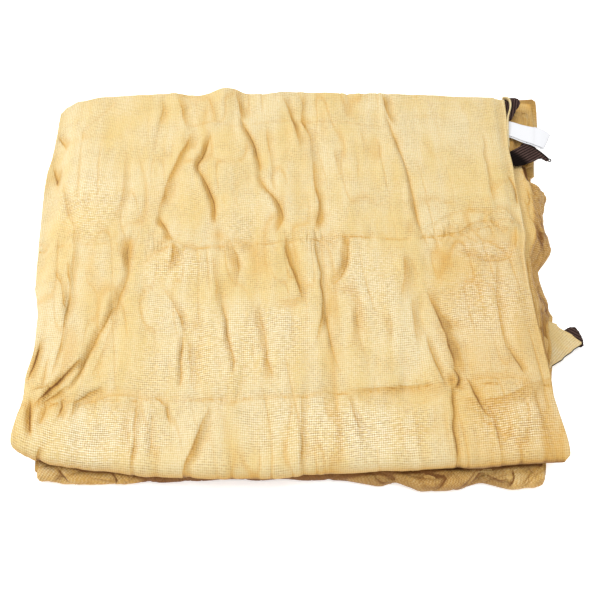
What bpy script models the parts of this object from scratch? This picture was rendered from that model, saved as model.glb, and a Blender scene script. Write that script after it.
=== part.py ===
"""Folded shade sail: a knitted cloth folded back and forth into a flat bundle.

The cloth is one continuous section of ten layers. The lower four lie flat on the
ground. The upper six are three nested bends, and the outermost bend wraps the
bundle's rounded front. Dark webbing and a blank label come out at the right edge.

Sizes below are in millimetres. +X is to the right, -Y is the front, +Z is up,
and the origin is on the ground under the middle of the bundle.
"""

import math
from collections import namedtuple
from functools import partial

import bmesh
import bpy
import numpy as np

MM = 0.001                  # one millimetre in Blender units

# Driving sizes of the cloth
SHEET = 1.8                 # two plies of the knit lying together
LOW_PITCH = 4.1             # from one lower layer's middle to the next
PITCH = 3.7                 # the same in the upper bundle
TOP_PITCH = 6.1             # the top layer lies loose, so that its troughs have room
TOP = 9                     # the top layer, counted from 0 on the ground
BUNDLE = 4                  # the lowest layer of the upper bundle
WEBBING = 1.2               # thickness of the dark webbing
TAPE = 0.9                  # thickness of the label tape

# Columns across the cloth
FINE = 38                   # on the top layer and the front bend
HIDDEN = 12                 # on the layers that lie inside
WAVED = 26                  # on the small wavy bends under the front

# How far the outline reaches, by distance from front to back
Edge = namedtuple("Edge", "y top_left top_right low_left low_right")
EDGES = [Edge(*row) for row in (
    (247, -260, 216, -238, 257),
    (206, -266, 217, -244, 253),
    (150, -270, 214, -249, 244),
    (122, -272, 216, -250, 242),
    (106, -272, 216, -250, 253),
    (88, -271, 217, -249, 247),
    (38, -268, 219, -247, 247),
    (12, -266, 215, -246, 232),
    (-24, -263, 215, -245, 236),
    (-42, -258, 216, -244, 240),
    (-60, -254, 217, -243, 237),
    (-100, -252, 220, -240, 231),
    (-128, -261, 222, -239, 226),
    (-150, -260, 223, -239, 222),
    (-195, -264, 230, -239, 214),
    (-226, -258, 233, -237, 209),
)]

# Inside the bundle the layers stop short on the left, but not at the front and back
INNER_INSET = 6.0
DRAWN_BACK = (175, 30)      # their left edges draw together from here to the back
DRAWN_FRONT = (-160, 35)    # and from here to the front
DRAWN_TOGETHER = 0.75

# Each layer's edges wander a little
WANDER = 1.7
WANDER_LENGTH = 29.0

# Front and back lines of the bundle and of the layers below it, from left to right
Point = namedtuple("Point", "x y")
TOP_FRONT = [Point(*row) for row in (
    (-264, -200), (-246, -206), (-224, -212), (-184, -218), (-124, -224),
    (-40, -224), (24, -219), (96, -217), (169, -215), (233, -210),
)]
LOW_FRONT = [Point(*row) for row in (
    (-240, -215), (-200, -219), (-165, -221), (-121, -216), (21, -215),
    (52, -219), (67, -222), (80, -219), (102, -228), (136, -226),
    (156, -220), (184, -227), (200, -222), (212, -216),
)]
TOP_BACK = [Point(*row) for row in (
    (-264, 211), (-248, 220), (-222, 226), (-160, 232), (-116, 230),
    (-88, 238), (-56, 230), (-7, 234), (103, 231), (216, 226),
)]
LOW_BACK = [Point(*row) for row in (
    (-245, 208), (-120, 224), (60, 230), (180, 240), (257, 247),
)]

# The section from the ground up: each bend joins one layer to another. The reach
# is how far its tip stands out from the front or back line, negative for inside.
Bend = namedtuple("Bend", "start_layer end_layer side reach steps columns")
BENDS = [Bend(*row) for row in (
    (0, 1, "front", 0.0, 4, WAVED),
    (1, 2, "back", -2.0, 3, HIDDEN),
    (2, 3, "front", -1.5, 4, WAVED),
    (3, 4, "back", 0.0, 3, HIDDEN),
    (4, 9, "front", 0.0, 9, FINE),
    (9, 8, "back", 0.0, 4, FINE),
    (8, 5, "front", 0.0, 5, HIDDEN),
    (5, 6, "back", -7.0, 3, HIDDEN),
    (6, 7, "front", 0.0, 3, HIDDEN),
)]
OPEN_END = {0: -4.0, 7: -13.0}      # how far inside the back line the two cut ends stop

# Steps along a layer from front to back. The two layers whose outline shows on the
# right have a step at each row of the outline's table.
TOP_STEPS = 22
HIDDEN_STEPS = 7
OUTLINED = (2, 3)
END_CLEAR = 0.02            # no such step this close to a layer's ends

# Deepest that the top layer may sink before it would touch the next one
SINK = 3.6

# Troughs between the folds of the top layer: start, middle and end of each, then
# its depth and half width. A negative depth is a ridge.
Trough = namedtuple("Trough", "x0 y0 x1 y1 x2 y2 depth width")
TROUGHS = [Trough(*row) for row in (
    # Behind the middle crease
    (-157, 225, -155, 182, -157, 150, 2.0, 8),
    (-127, 170, -147, 80, -132, 28, 4.5, 8),
    (-102, 167, -112, 122, -91, 52, 4.0, 8),
    (-75, 238, -54, 150, -26, 50, 5.0, 9),
    (-38, 165, -37, 125, -26, 77, 2.5, 7),
    (-4, 226, 7, 135, 10, 42, 4.5, 8),
    (80, 212, 103, 116, 117, 28, 4.5, 9),
    (187, 210, 190, 120, 189, 80, 2.5, 8),
    (-256, 110, -232, 50, -226, 4, 3.0, 8),
    (-187, 132, -185, 77, -189, 54, 2.0, 8),
    # Between the middle crease and the front crease
    (-176, 26, -172, -13, -180, -58, 4.0, 10),
    (-180, -54, -196, -95, -213, -142, 4.5, 8),
    (-134, -30, -114, -84, -103, -136, 3.5, 7),
    (-76, 30, -62, -12, -78, -56, 2.5, 10),
    (-78, -56, -71, -90, -66, -126, 3.5, 7),
    (-14, 26, -14, -10, -4, -40, 3.5, 7),
    (7, 30, 15, -40, 9, -90, 3.5, 6),
    (41, 30, 39, 2, 26, -27, 4.0, 7),
    (18, -45, 22, -85, 32, -125, 2.5, 6),
    (92, 6, 94, -15, 91, -40, 2.0, 7),
    (119, -43, 127, -84, 136, -130, 4.5, 11),
    (183, -5, 183, -80, 193, -126, 1.5, 6),
    (-226, -43, -223, -90, -228, -132, 2.5, 7),
    # On the front band
    (-151, -160, -151, -193, -152, -226, 2.0, 6),
    (-86, -163, -96, -190, -109, -226, 3.5, 8),
    (-244, -158, -241, -175, -240, -192, 3.0, 7),
    (-3, -150, -3, -190, -4, -222, 2.0, 6),
    (38, -150, 44, -172, 50, -200, 2.0, 6),
    (131, -146, 130, -183, 130, -220, 3.5, 6),
    (150, -135, 153, -150, 162, -170, 2.5, 6),
    # Creases from side to side
    (-119, 13, -35, 23, 95, 28, 2.0, 8),
    (136, 30, 170, 46, 214, 52, 3.0, 9),
    (154, 8, 178, 3, 204, 9, 2.5, 8),
    (-252, -158, -120, -156, -4, -152, 2.5, 8),
    (-4, -152, 60, -143, 224, -137, 2.0, 8),
    # Ridges where the cloth stands up
    (-90, 240, -88, 215, -84, 190, -3.5, 12),
    (-95, 150, -88, 110, -70, 60, -2.0, 16),
    (60, 190, 70, 130, 80, 70, -2.0, 22),
)]
END_DEPTH = 0.35            # share of a trough's depth that is left at its ends
SWELL_BESIDE = 0.35         # height of the swells beside it, as a share of its depth
SWELL_AWAY = 2.0            # and how far off they stand, in half widths

# Slow swelling of the whole bundle between its three creases from side to side
MIDDLE_CREASE = 25
FRONT_CREASE = -150
PANEL_HEIGHT = 1.2
FRONT_FALL = 2.0            # the cloth slopes down to the front bend
FRONT_BAND = 60
SLOW_SWELL = 0.8
SLOW_LENGTHS = (41.0, 57.0) # from left to right, and from front to back

# How far the bundle sinks at its sides: where that starts, over what width, how far
Droop = namedtuple("Droop", "start width depth")
RIGHT_DROOP = Droop(200, 18, 2.0)
LEFT_DROOP = Droop(-225, 24, 4.0)
LEFT_HANG = Droop(-246, 18, 10.0)
HANG_BACK = (160, 45)       # the left side hangs less towards the back
HANG_FRONT = (-130, 50)     # and towards the front

# Waves of the lower layers, seen under the front on the right
Wave = namedtuple("Wave", "x y height width")
WAVES = [Wave(*row) for row in (
    (70, -215, 1.2, 14),
    (88, -215, -1.2, 10),
    (118, -215, 1.4, 18),
    (152, -215, -1.4, 9),
    (182, -215, 1.3, 15),
)]
WAVE_DEPTH = 16.0           # how far they run back

# The loose corner of a lower layer that sticks out on the right
CORNER_LAYER = 3
CORNER_REACH = 31
Tip = namedtuple("Tip", "y reach")
CORNER = [Tip(*row) for row in (
    (-46, 0), (-58, 7), (-68, 22), (-76, CORNER_REACH), (-84, 22), (-94, 12), (-104, 0),
)]
CORNER_DROOP = 3.0

# Pieces sewn under the top layer's right edge: stations along each piece, with
# the two sides of the piece, and how far it has sunk below its seat there
SEAM_GAP = 0.6
SEAT_EDGE = 218
ACROSS = 4                  # points across each piece
StrapStation = namedtuple("StrapStation", "y x_left x_right fall")
EDGE_STRAP = [StrapStation(*row) for row in (
    (229, 222, 235, 1.6),
    (219, 221, 232, 0.6),
    (211, 210, 228, 0.1),
    (204, 206, 225, 0.0),
    (197, 203, 222, 0.0),
)]
Station = namedtuple("Station", "x y_front y_back fall")
CORNER_WEBBING = [Station(*row) for row in (
    (204, 124, 142, 0.0),
    (217, 130, 149, 0.0),
    (227, 134, 158, 1.4),
    (237, 140, 166, 3.2),
    (247, 145, 156, 5.2),
    (257, 143, 147, 7.0),
)]
LABEL = [Station(*row) for row in (
    (206, 174, 194, 0.0),
    (218, 173, 193, 0.0),
    (232, 168, 189, 0.3),
    (244, 163, 185, 0.7),
    (247, 161, 184, 0.8),
    (255, 158, 176, 1.4),
    (260, 163, 172, 2.0),
)]

# The dark patch under the loose corner, sewn below it
PATCH_SEAT = 9.3
CORNER_PATCH = [Station(*row) for row in (
    (247, -68, -63, 0.2),
    (253, -72, -60, 0.5),
    (258, -74, -58, 0.8),
    (262, -77, -64, 1.0),
    (266, -79, -72, 1.2),
)]

Look = namedtuple("Look", "colour roughness")
LOOKS = {
    "sail_cloth": Look((0.86, 0.66, 0.36), 0.8),
    "edge_strap": Look((0.030, 0.014, 0.011), 0.75),
    "corner_webbing": Look((0.026, 0.012, 0.010), 0.7),
    "corner_patch": Look((0.020, 0.012, 0.010), 0.7),
    "label": Look((0.90, 0.90, 0.92), 0.6),
}


def smooth(value):
    """Ease from 0 to 1."""
    value = min(1.0, max(0.0, value))
    return value * value * (3.0 - 2.0 * value)


def along(table, at, column):
    """Read one column of a table at a place between its rows, with eased steps."""
    rows = sorted(table)
    if at <= rows[0][0]:
        return getattr(rows[0], column)
    for low, high in zip(rows, rows[1:]):
        if at <= high[0]:
            share = (at - low[0]) / (high[0] - low[0])
            share = (share + smooth(share)) / 2
            start = getattr(low, column)
            return start + (getattr(high, column) - start) * share
    return getattr(rows[-1], column)


def layer_heights():
    """Heights of the layers' middles above the ground, from the lowest to the top."""
    heights = [SHEET / 2]
    for layer in range(1, TOP + 1):
        pitch = LOW_PITCH if layer <= BUNDLE else PITCH
        heights.append(heights[-1] + (TOP_PITCH if layer == TOP else pitch))
    return heights


HEIGHTS = layer_heights()


def wander(y, level, turn):
    """How far a layer's edge strays from the outline; turn sets one layer off another."""
    return WANDER * math.sin(turn * level + y / WANDER_LENGTH)


def left_edge(y, level):
    """Left outline. Only the top layer reaches over the side of the stack."""
    inner = smooth(level - BUNDLE)
    ends = smooth((y - DRAWN_BACK[0]) / DRAWN_BACK[1])
    ends += smooth((DRAWN_FRONT[0] - y) / DRAWN_FRONT[1])
    low = along(EDGES, y, "low_left") + wander(y, level, 1.9) + INNER_INSET * inner
    top = along(EDGES, y, "top_left")
    share = max(smooth(level - (TOP - 1)), DRAWN_TOGETHER * ends * inner)
    return low + (top - low) * share


def right_edge(y, level):
    """Right outline. The lower a layer lies, the further it reaches."""
    low = along(EDGES, y, "low_right")
    top = along(EDGES, y, "top_right")
    share = smooth((level - CORNER_LAYER) / (TOP - CORNER_LAYER))
    return low + (top - low) * share + wander(y, level, 2.3) * smooth(TOP - level)


def segment_distance(x, y, x0, y0, x1, y1):
    """Distance to a straight run, and how far along it the nearest point is."""
    dx, dy = x1 - x0, y1 - y0
    share = ((x - x0) * dx + (y - y0) * dy) / (dx * dx + dy * dy)
    share = min(1.0, max(0.0, share))
    return math.hypot(x - x0 - share * dx, y - y0 - share * dy), share


def trough(x, y, row):
    """Depth that one trough takes from the cloth, with soft swells beside it."""
    first, first_share = segment_distance(x, y, row.x0, row.y0, row.x1, row.y1)
    second, second_share = segment_distance(x, y, row.x1, row.y1, row.x2, row.y2)
    if first < second:
        distance, share = first, first_share / 2
    else:
        distance, share = second, (1.0 + second_share) / 2
    distance /= row.width
    hollow = math.exp(-(distance ** 2))
    beside = SWELL_BESIDE * math.exp(-((distance - SWELL_AWAY) ** 2))
    fade = END_DEPTH + (1.0 - END_DEPTH) * math.sin(math.pi * share)
    return row.depth * fade * (beside - hollow)


def swell(x, y):
    """The cloth rises a little between its creases and sinks towards the front."""
    panel = MIDDLE_CREASE - FRONT_CREASE
    rise = PANEL_HEIGHT * abs(math.sin(math.pi * (y - MIDDLE_CREASE) / panel))
    if y < FRONT_CREASE:
        rise = -FRONT_FALL * smooth((FRONT_CREASE - y) / FRONT_BAND)
    slow = math.sin(x / SLOW_LENGTHS[0] + 0.6) * math.cos(y / SLOW_LENGTHS[1])
    return rise + SLOW_SWELL * slow


def folds(x, y):
    """Troughs and ridges of the outermost layer, held above the layer beneath."""
    height = sum(trough(x, y, row) for row in TROUGHS)
    return height if height > 0 else -SINK * math.tanh(-height / SINK)


def low_relief(x, y):
    """Waves in the lower layers near the front."""
    height = 0.0
    for wave in WAVES:
        distance = math.hypot((x - wave.x) / wave.width, (y - wave.y) / WAVE_DEPTH)
        height += wave.height * math.exp(-distance * distance)
    return height


def side_droop(x, y):
    """The bundle sinks at its right edge, and hangs over its left side."""
    right = RIGHT_DROOP.depth * smooth((x - RIGHT_DROOP.start) / RIGHT_DROOP.width)
    left = 0.0
    for droop in (LEFT_DROOP, LEFT_HANG):
        left += droop.depth * smooth((droop.start - x) / droop.width)
    held = smooth((y - HANG_BACK[0]) / HANG_BACK[1])
    held += smooth((HANG_FRONT[0] - y) / HANG_FRONT[1])
    return -right - left * (1.0 - DRAWN_TOGETHER * held)


def place(u, y, level, lift=0.0, push=0.0):
    """A point of the cloth: u from left to right, y to the back, a layer's level.

    The outermost layer's folds are added upwards by lift and to the back by push.
    """
    left, right = left_edge(y, level), right_edge(y, level)
    x = left + (right - left) * u
    upper = max(0.0, (level - BUNDLE) / (TOP - BUNDLE))
    lower = min(1.0, level / (BUNDLE - 1))
    height = float(np.interp(level, range(TOP + 1), HEIGHTS))
    z = height + (swell(x, y) + side_droop(x, y)) * upper + low_relief(x, y) * lower
    fold = folds(x, y) if lift or push else 0.0
    return x, y + push * fold, z + lift * fold


def bend_radius(bend):
    """Radius of a bend's middle line."""
    return abs(HEIGHTS[bend.start_layer] - HEIGHTS[bend.end_layer]) / 2


def line_at(line, u):
    """A front or back line's distance from the middle, at a share of its width."""
    return along(line, line[0].x + (line[-1].x - line[0].x) * u, "y")


def bend_centre(u, bend):
    """Where the middle of a bend's circle lies from front to back."""
    upper = min(bend.start_layer, bend.end_layer) >= BUNDLE
    widest = bend_radius(bend)
    if bend.side == "back":
        inset = widest + SHEET / 2 - bend.reach
        return line_at(TOP_BACK if upper else LOW_BACK, u) - inset
    if upper:
        widest = (HEIGHTS[TOP] - HEIGHTS[BUNDLE]) / 2
    inset = widest + SHEET / 2 - bend.reach
    return line_at(TOP_FRONT if upper else LOW_FRONT, u) + inset


def bend_rows(bend):
    """Rows of points round one bend, without its two ends."""
    outward = -1.0 if bend.side == "front" else 1.0
    radius = bend_radius(bend)
    rising = 1.0 if bend.end_layer > bend.start_layer else -1.0
    middle = (HEIGHTS[bend.start_layer] + HEIGHTS[bend.end_layer]) / 2
    outermost = 1.0 if TOP in (bend.start_layer, bend.end_layer) else 0.0
    rows = []
    for step in range(1, bend.steps):
        angle = rising * math.pi * (step / bend.steps - 0.5)
        height = middle + math.sin(angle) * radius
        level = float(np.interp(height, HEIGHTS, range(TOP + 1)))
        lift = outermost * (1.0 + math.sin(angle)) / 2
        push = outermost * outward * math.cos(angle)
        row = []
        for column in range(bend.columns + 1):
            u = column / bend.columns
            y = bend_centre(u, bend) + outward * math.cos(angle) * radius
            row.append(place(u, y, level, lift, push))
        rows.append(row)
    return rows


def run_shares(layer, y_start, y_end):
    """Steps along a layer, as shares of the way, at the right edge's corners too."""
    if layer == TOP:
        return [step / TOP_STEPS for step in range(TOP_STEPS + 1)]
    if layer not in OUTLINED:
        return [step / HIDDEN_STEPS for step in range(HIDDEN_STEPS + 1)]
    stops = {row.y for row in EDGES}
    if layer == CORNER_LAYER:
        stops = {y for y in stops if not CORNER[-1].y < y < CORNER[0].y}
        stops |= {row.y for row in CORNER}
    shares = [(y - y_start) / (y_end - y_start) for y in stops]
    inside = [share for share in shares if END_CLEAR < share < 1.0 - END_CLEAR]
    return [0.0] + sorted(inside) + [1.0]


def run_rows(layer, start, end, first_columns, last_columns):
    """Rows of points along one layer, from one bend's centre line to the next."""
    lift = 1.0 if layer == TOP else 0.0
    rows = []
    for share in run_shares(layer, start(1.0), end(1.0)):
        columns = FINE if layer == TOP else HIDDEN
        if share in (0.0, 1.0):
            columns = last_columns if share else first_columns
        row = []
        for column in range(columns + 1):
            u = column / columns
            y = start(u) + (end(u) - start(u)) * share
            x, y, z = place(u, y, layer, lift)
            if layer == CORNER_LAYER and column == columns:
                reach = along(CORNER, y, "reach")
                x += reach
                z -= CORNER_DROOP * reach / CORNER_REACH
            row.append((x, y, z))
        rows.append(row)
    return rows


def cut_end(u, layer):
    """Where one of the cloth's two cut ends stops."""
    line = TOP_BACK if layer >= BUNDLE else LOW_BACK
    return line_at(line, u) + OPEN_END[layer]


def section_rows():
    """The whole cloth, row by row, from its end on the ground to its end inside."""
    rows = []
    start, columns = partial(cut_end, layer=BENDS[0].start_layer), HIDDEN
    for bend in BENDS:
        end = partial(bend_centre, bend=bend)
        rows += run_rows(bend.start_layer, start, end, columns, bend.columns)
        rows += bend_rows(bend)
        start, columns = end, bend.columns
    last = BENDS[-1].end_layer
    return rows + run_rows(last, start, partial(cut_end, layer=last), columns, HIDDEN)


def bridge(mesh, low, high):
    """Fill the strip between two rows that may differ in their number of points."""
    a = b = 0
    while a < len(low) - 1 or b < len(high) - 1:
        next_a = (a + 1) / (len(low) - 1) if a < len(low) - 1 else 2.0
        next_b = (b + 1) / (len(high) - 1) if b < len(high) - 1 else 2.0
        if abs(next_a - next_b) < 1e-6:
            mesh.faces.new((low[a], high[b], high[b + 1], low[a + 1]))
            a, b = a + 1, b + 1
        elif next_a < next_b:
            mesh.faces.new((low[a], high[b], low[a + 1]))
            a += 1
        else:
            mesh.faces.new((low[a], high[b], high[b + 1]))
            b += 1


def make_sheet(name, rows, thickness):
    """One cloth, webbing or tape: a sheet through rows of points, made solid."""
    mesh = bmesh.new()
    lines = []
    for row in rows:
        lines.append([mesh.verts.new([value * MM for value in point]) for point in row])
    for low, high in zip(lines, lines[1:]):
        bridge(mesh, low, high)
    data = bpy.data.meshes.new(name)
    mesh.to_mesh(data)
    mesh.free()
    data.shade_smooth()
    piece = bpy.data.objects.new(name, data)
    bpy.context.collection.objects.link(piece)
    solid = piece.modifiers.new("thickness", "SOLIDIFY")
    solid.thickness = thickness * MM
    solid.offset = 0.0
    add_material(piece)
    return piece


def add_material(piece):
    """Give a piece its own plain colour."""
    look = LOOKS[piece.name]
    material = bpy.data.materials.new(piece.name)
    material.use_nodes = True
    shader = material.node_tree.nodes["Principled BSDF"]
    shader.inputs["Base Color"].default_value = (*look.colour, 1.0)
    shader.inputs["Roughness"].default_value = look.roughness
    piece.data.materials.append(material)


def make_cloth():
    """The folded sail itself."""
    return make_sheet("sail_cloth", section_rows(), SHEET)


def seat_height(x, y, thickness):
    """Height of a trim's middle where it is sewn under the top layer's right edge."""
    x = min(x, SEAT_EDGE)
    top = HEIGHTS[TOP] + swell(x, y) + side_droop(x, y) + folds(x, y)
    return top - SHEET / 2 - SEAM_GAP - thickness / 2


def make_strap():
    """The dark strap that leaves the rolled hem at the back right corner."""
    rows = []
    for station in EDGE_STRAP:
        row = []
        for x in np.linspace(station.x_left, station.x_right, ACROSS):
            height = seat_height(x, station.y, WEBBING)
            row.append((x, station.y, height - station.fall))
        rows.append(row)
    return make_sheet("edge_strap", rows, WEBBING)


def make_trim(name, stations, thickness, seat=None):
    """A strip of webbing or tape that runs to the right, on its seat."""
    rows = []
    for station in stations:
        row = []
        for y in np.linspace(station.y_front, station.y_back, ACROSS):
            height = seat if seat else seat_height(station.x, y, thickness)
            row.append((station.x, y, height - station.fall))
        rows.append(row)
    return make_sheet(name, rows, thickness)


def make_patch():
    """The dark patch sewn under the tip of the loose corner."""
    return make_trim("corner_patch", CORNER_PATCH, WEBBING, PATCH_SEAT)


def centre_on_origin(pieces):
    """Shift the pieces so that the origin is on the ground under the middle."""
    graph = bpy.context.evaluated_depsgraph_get()
    boxes = [piece.evaluated_get(graph).bound_box for piece in pieces]
    corners = [corner for box in boxes for corner in box]
    for axis in (0, 1):
        values = [corner[axis] for corner in corners]
        middle = (min(values) + max(values)) / 2
        for piece in pieces:
            piece.location[axis] -= middle


def main():
    for thing in list(bpy.data.objects):
        bpy.data.objects.remove(thing, do_unlink=True)
    pieces = [
        make_cloth(),
        make_strap(),
        make_trim("corner_webbing", CORNER_WEBBING, WEBBING),
        make_trim("label", LABEL, TAPE),
        make_patch(),
    ]
    centre_on_origin(pieces)


main()
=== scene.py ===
"""Looks of a folded shade sail: a yellow knitted cloth folded into a flat bundle.

The cloth is one thin sheet along the same back-and-forth section as its solid, with
all its creases, hems and puckers. Ribbed webbing, a blank label and a rolled hem come
out at the right edge.

Tables are in millimetres in the layout's own frame: +X to the right, -Y to the front,
+Z up from the ground. The layout is moved as a whole to where the solids lie.
"""

import math
from collections import namedtuple

import bpy
import numpy as np
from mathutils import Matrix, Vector


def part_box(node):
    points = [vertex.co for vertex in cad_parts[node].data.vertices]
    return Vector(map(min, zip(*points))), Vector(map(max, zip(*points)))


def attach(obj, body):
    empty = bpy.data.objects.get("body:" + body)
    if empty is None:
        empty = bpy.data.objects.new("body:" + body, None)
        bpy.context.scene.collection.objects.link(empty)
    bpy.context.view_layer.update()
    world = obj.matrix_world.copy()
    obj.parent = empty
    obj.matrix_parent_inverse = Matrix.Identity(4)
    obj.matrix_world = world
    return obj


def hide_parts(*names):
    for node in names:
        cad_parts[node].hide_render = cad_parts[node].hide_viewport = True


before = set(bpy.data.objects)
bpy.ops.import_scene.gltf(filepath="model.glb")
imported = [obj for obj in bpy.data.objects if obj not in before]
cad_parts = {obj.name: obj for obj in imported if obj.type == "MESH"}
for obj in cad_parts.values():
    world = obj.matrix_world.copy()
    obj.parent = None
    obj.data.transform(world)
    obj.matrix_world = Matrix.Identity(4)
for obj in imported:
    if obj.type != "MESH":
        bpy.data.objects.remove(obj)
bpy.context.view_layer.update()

MM = 0.001                  # one millimetre in metres
FAR = 1e9                   # further than anything here
SAME = 1e-6                 # shares of a line closer than this are the same
TINY = 1e-9                 # keeps a division from failing
CREASE_STEPS = 5            # steps between two points of a crease, a line and a strip
LINE_STEPS = 6
STRIP_STEPS = 8
TUBE_SIDES = 10
NEVER_AHEAD = (0.1, 0.2, 1.0)  # a direction that no tube follows

# A place from above, a random relief's cells and seed, and an ease from 0 at a start
# to 1 where its width ends, backwards if the width is negative
Point = namedtuple("Point", "x y")
Cells = namedtuple("Cells", "wide long seed")
Fade = namedtuple("Fade", "start width")
ROUGH_SIZE = 256            # a random relief repeats after this many cells
ROUGH_START = 500.0         # added to the cells' numbers, so that they are positive

# Driving sizes of the cloth, as in its solid
SHEET = 1.8                 # a layer of the solid
LOW_PITCH = 4.1
PITCH = 3.7
TOP_PITCH = 6.1
TOP = 9                     # the top layer, counted from 0 on the ground
BUNDLE = 4                  # the lowest layer of the upper bundle
CLOTH = 1.3                 # thickness of the knit, two plies together
WEBBING = 1.2
TAPE = 0.45

# How far the outline reaches, by distance from front to back
Edge = namedtuple("Edge", "y top_left top_right low_left low_right")
EDGES = [Edge(*row) for row in (
    (247, -260, 216, -238, 257),
    (206, -266, 217, -244, 253),
    (150, -270, 214, -249, 244),
    (122, -272, 216, -250, 242),
    (106, -272, 216, -250, 253),
    (88, -271, 217, -249, 247),
    (38, -268, 219, -247, 247),
    (12, -266, 215, -246, 232),
    (-24, -263, 215, -245, 236),
    (-42, -258, 216, -244, 240),
    (-60, -254, 217, -243, 237),
    (-100, -252, 220, -240, 231),
    (-128, -257, 222, -239, 226),
    (-150, -255, 223, -239, 222),
    (-195, -261, 230, -239, 214),
    (-226, -263, 232, -237, 209),
)]
INNER_INSET = 6.0           # inside the bundle the layers stop short on the left
DRAWN_BACK = Fade(175, 30)  # but draw together from here to the back
DRAWN_FRONT = Fade(-148, -28)  # and from here to the front
DRAWN_TOGETHER = 0.75
WANDER = 1.7                # how far each layer's edge strays, over this length
WANDER_LENGTH = 29.0
LEFT_TURN = 1.9             # and how that shifts from layer to layer on each side
RIGHT_TURN = 2.3

# Front and back lines of the bundle and of the layers below it, from left to right
TOP_FRONT = [Point(*row) for row in (
    (-263, -193), (-261, -196), (-255, -200), (-247, -204), (-238, -207.5),
    (-223, -212), (-184, -218), (-124, -224),
    (-40, -226.5), (24, -221), (96, -218), (169, -215), (233, -210),
)]
LOW_FRONT = [Point(*row) for row in (
    (-240, -218.5), (-200, -219.5), (-165, -221), (-138, -217.5), (-110, -216.5), (0, -216),
    (30, -217), (52, -220), (67, -222), (80, -219), (102, -228), (136, -226),
    (156, -220), (184, -227), (200, -223.5), (212, -219),
)]
TOP_BACK = [Point(*row) for row in (
    (-264, 208), (-259, 217), (-248, 224), (-222, 230), (-160, 234), (-116, 232),
    (-88, 238.5), (-58, 233.5), (-7, 237), (103, 233), (216, 227),
)]
LOW_BACK = [Point(*row) for row in (
    (-245, 208), (-120, 224), (60, 230), (180, 240), (257, 247),
)]

# Columns across the cloth, as shares of its width
FINE = np.linspace(0.0, 1.0, 476)
WAVED = np.linspace(0.0, 1.0, 121)
BACK = np.linspace(0.0, 1.0, 61)
SIDE = np.array((0.0, 0.006, 0.016, 0.035, 0.07))
HIDDEN = np.concatenate([SIDE, (0.3, 0.5, 0.7), 1.0 - SIDE[::-1]])
LOOSE = np.concatenate([SIDE, (0.3, 0.5, 0.7, 0.85), np.linspace(0.9, 1.0, 31)])

# The section from the ground up: each bend joins one layer to another
Bend = namedtuple("Bend", "start_layer end_layer side reach steps columns")
BENDS = [Bend(*row) for row in (
    (0, 1, "front", -5.4, 8, WAVED),
    (1, 2, "back", -2.0, 6, BACK),
    (2, 3, "front", -6.0, 8, WAVED),
    (3, 4, "back", 0.0, 6, BACK),
    (4, 9, "front", 0.0, 18, FINE),
    (9, 8, "back", 0.0, 8, FINE),
    (8, 5, "front", 0.0, 6, HIDDEN),
    (5, 6, "back", -7.0, 6, BACK),
    (6, 7, "front", 0.0, 4, HIDDEN),
)]
OPEN_END = {0: -4.0, 7: -13.0}

# Rows along a layer, in steps of this length away from the creases and near them
TOP_STEP = 5.3
CREASE_STEP = 2.0
HIDDEN_STEP = 6.5
LOOSE_STEP = 1.6            # along the corner that sticks out, between these two places
LOOSE_BAND = (-106, -44)
CREASE_BANDS = ((12, 60), (-172, -122), (180, 196))
INNER_ROWS = 2              # the hidden side of the sheet has every second row
INNER_COLUMNS = 5           # and every fifth column
SINK = 4.2                  # deepest that the top layer sinks

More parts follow.
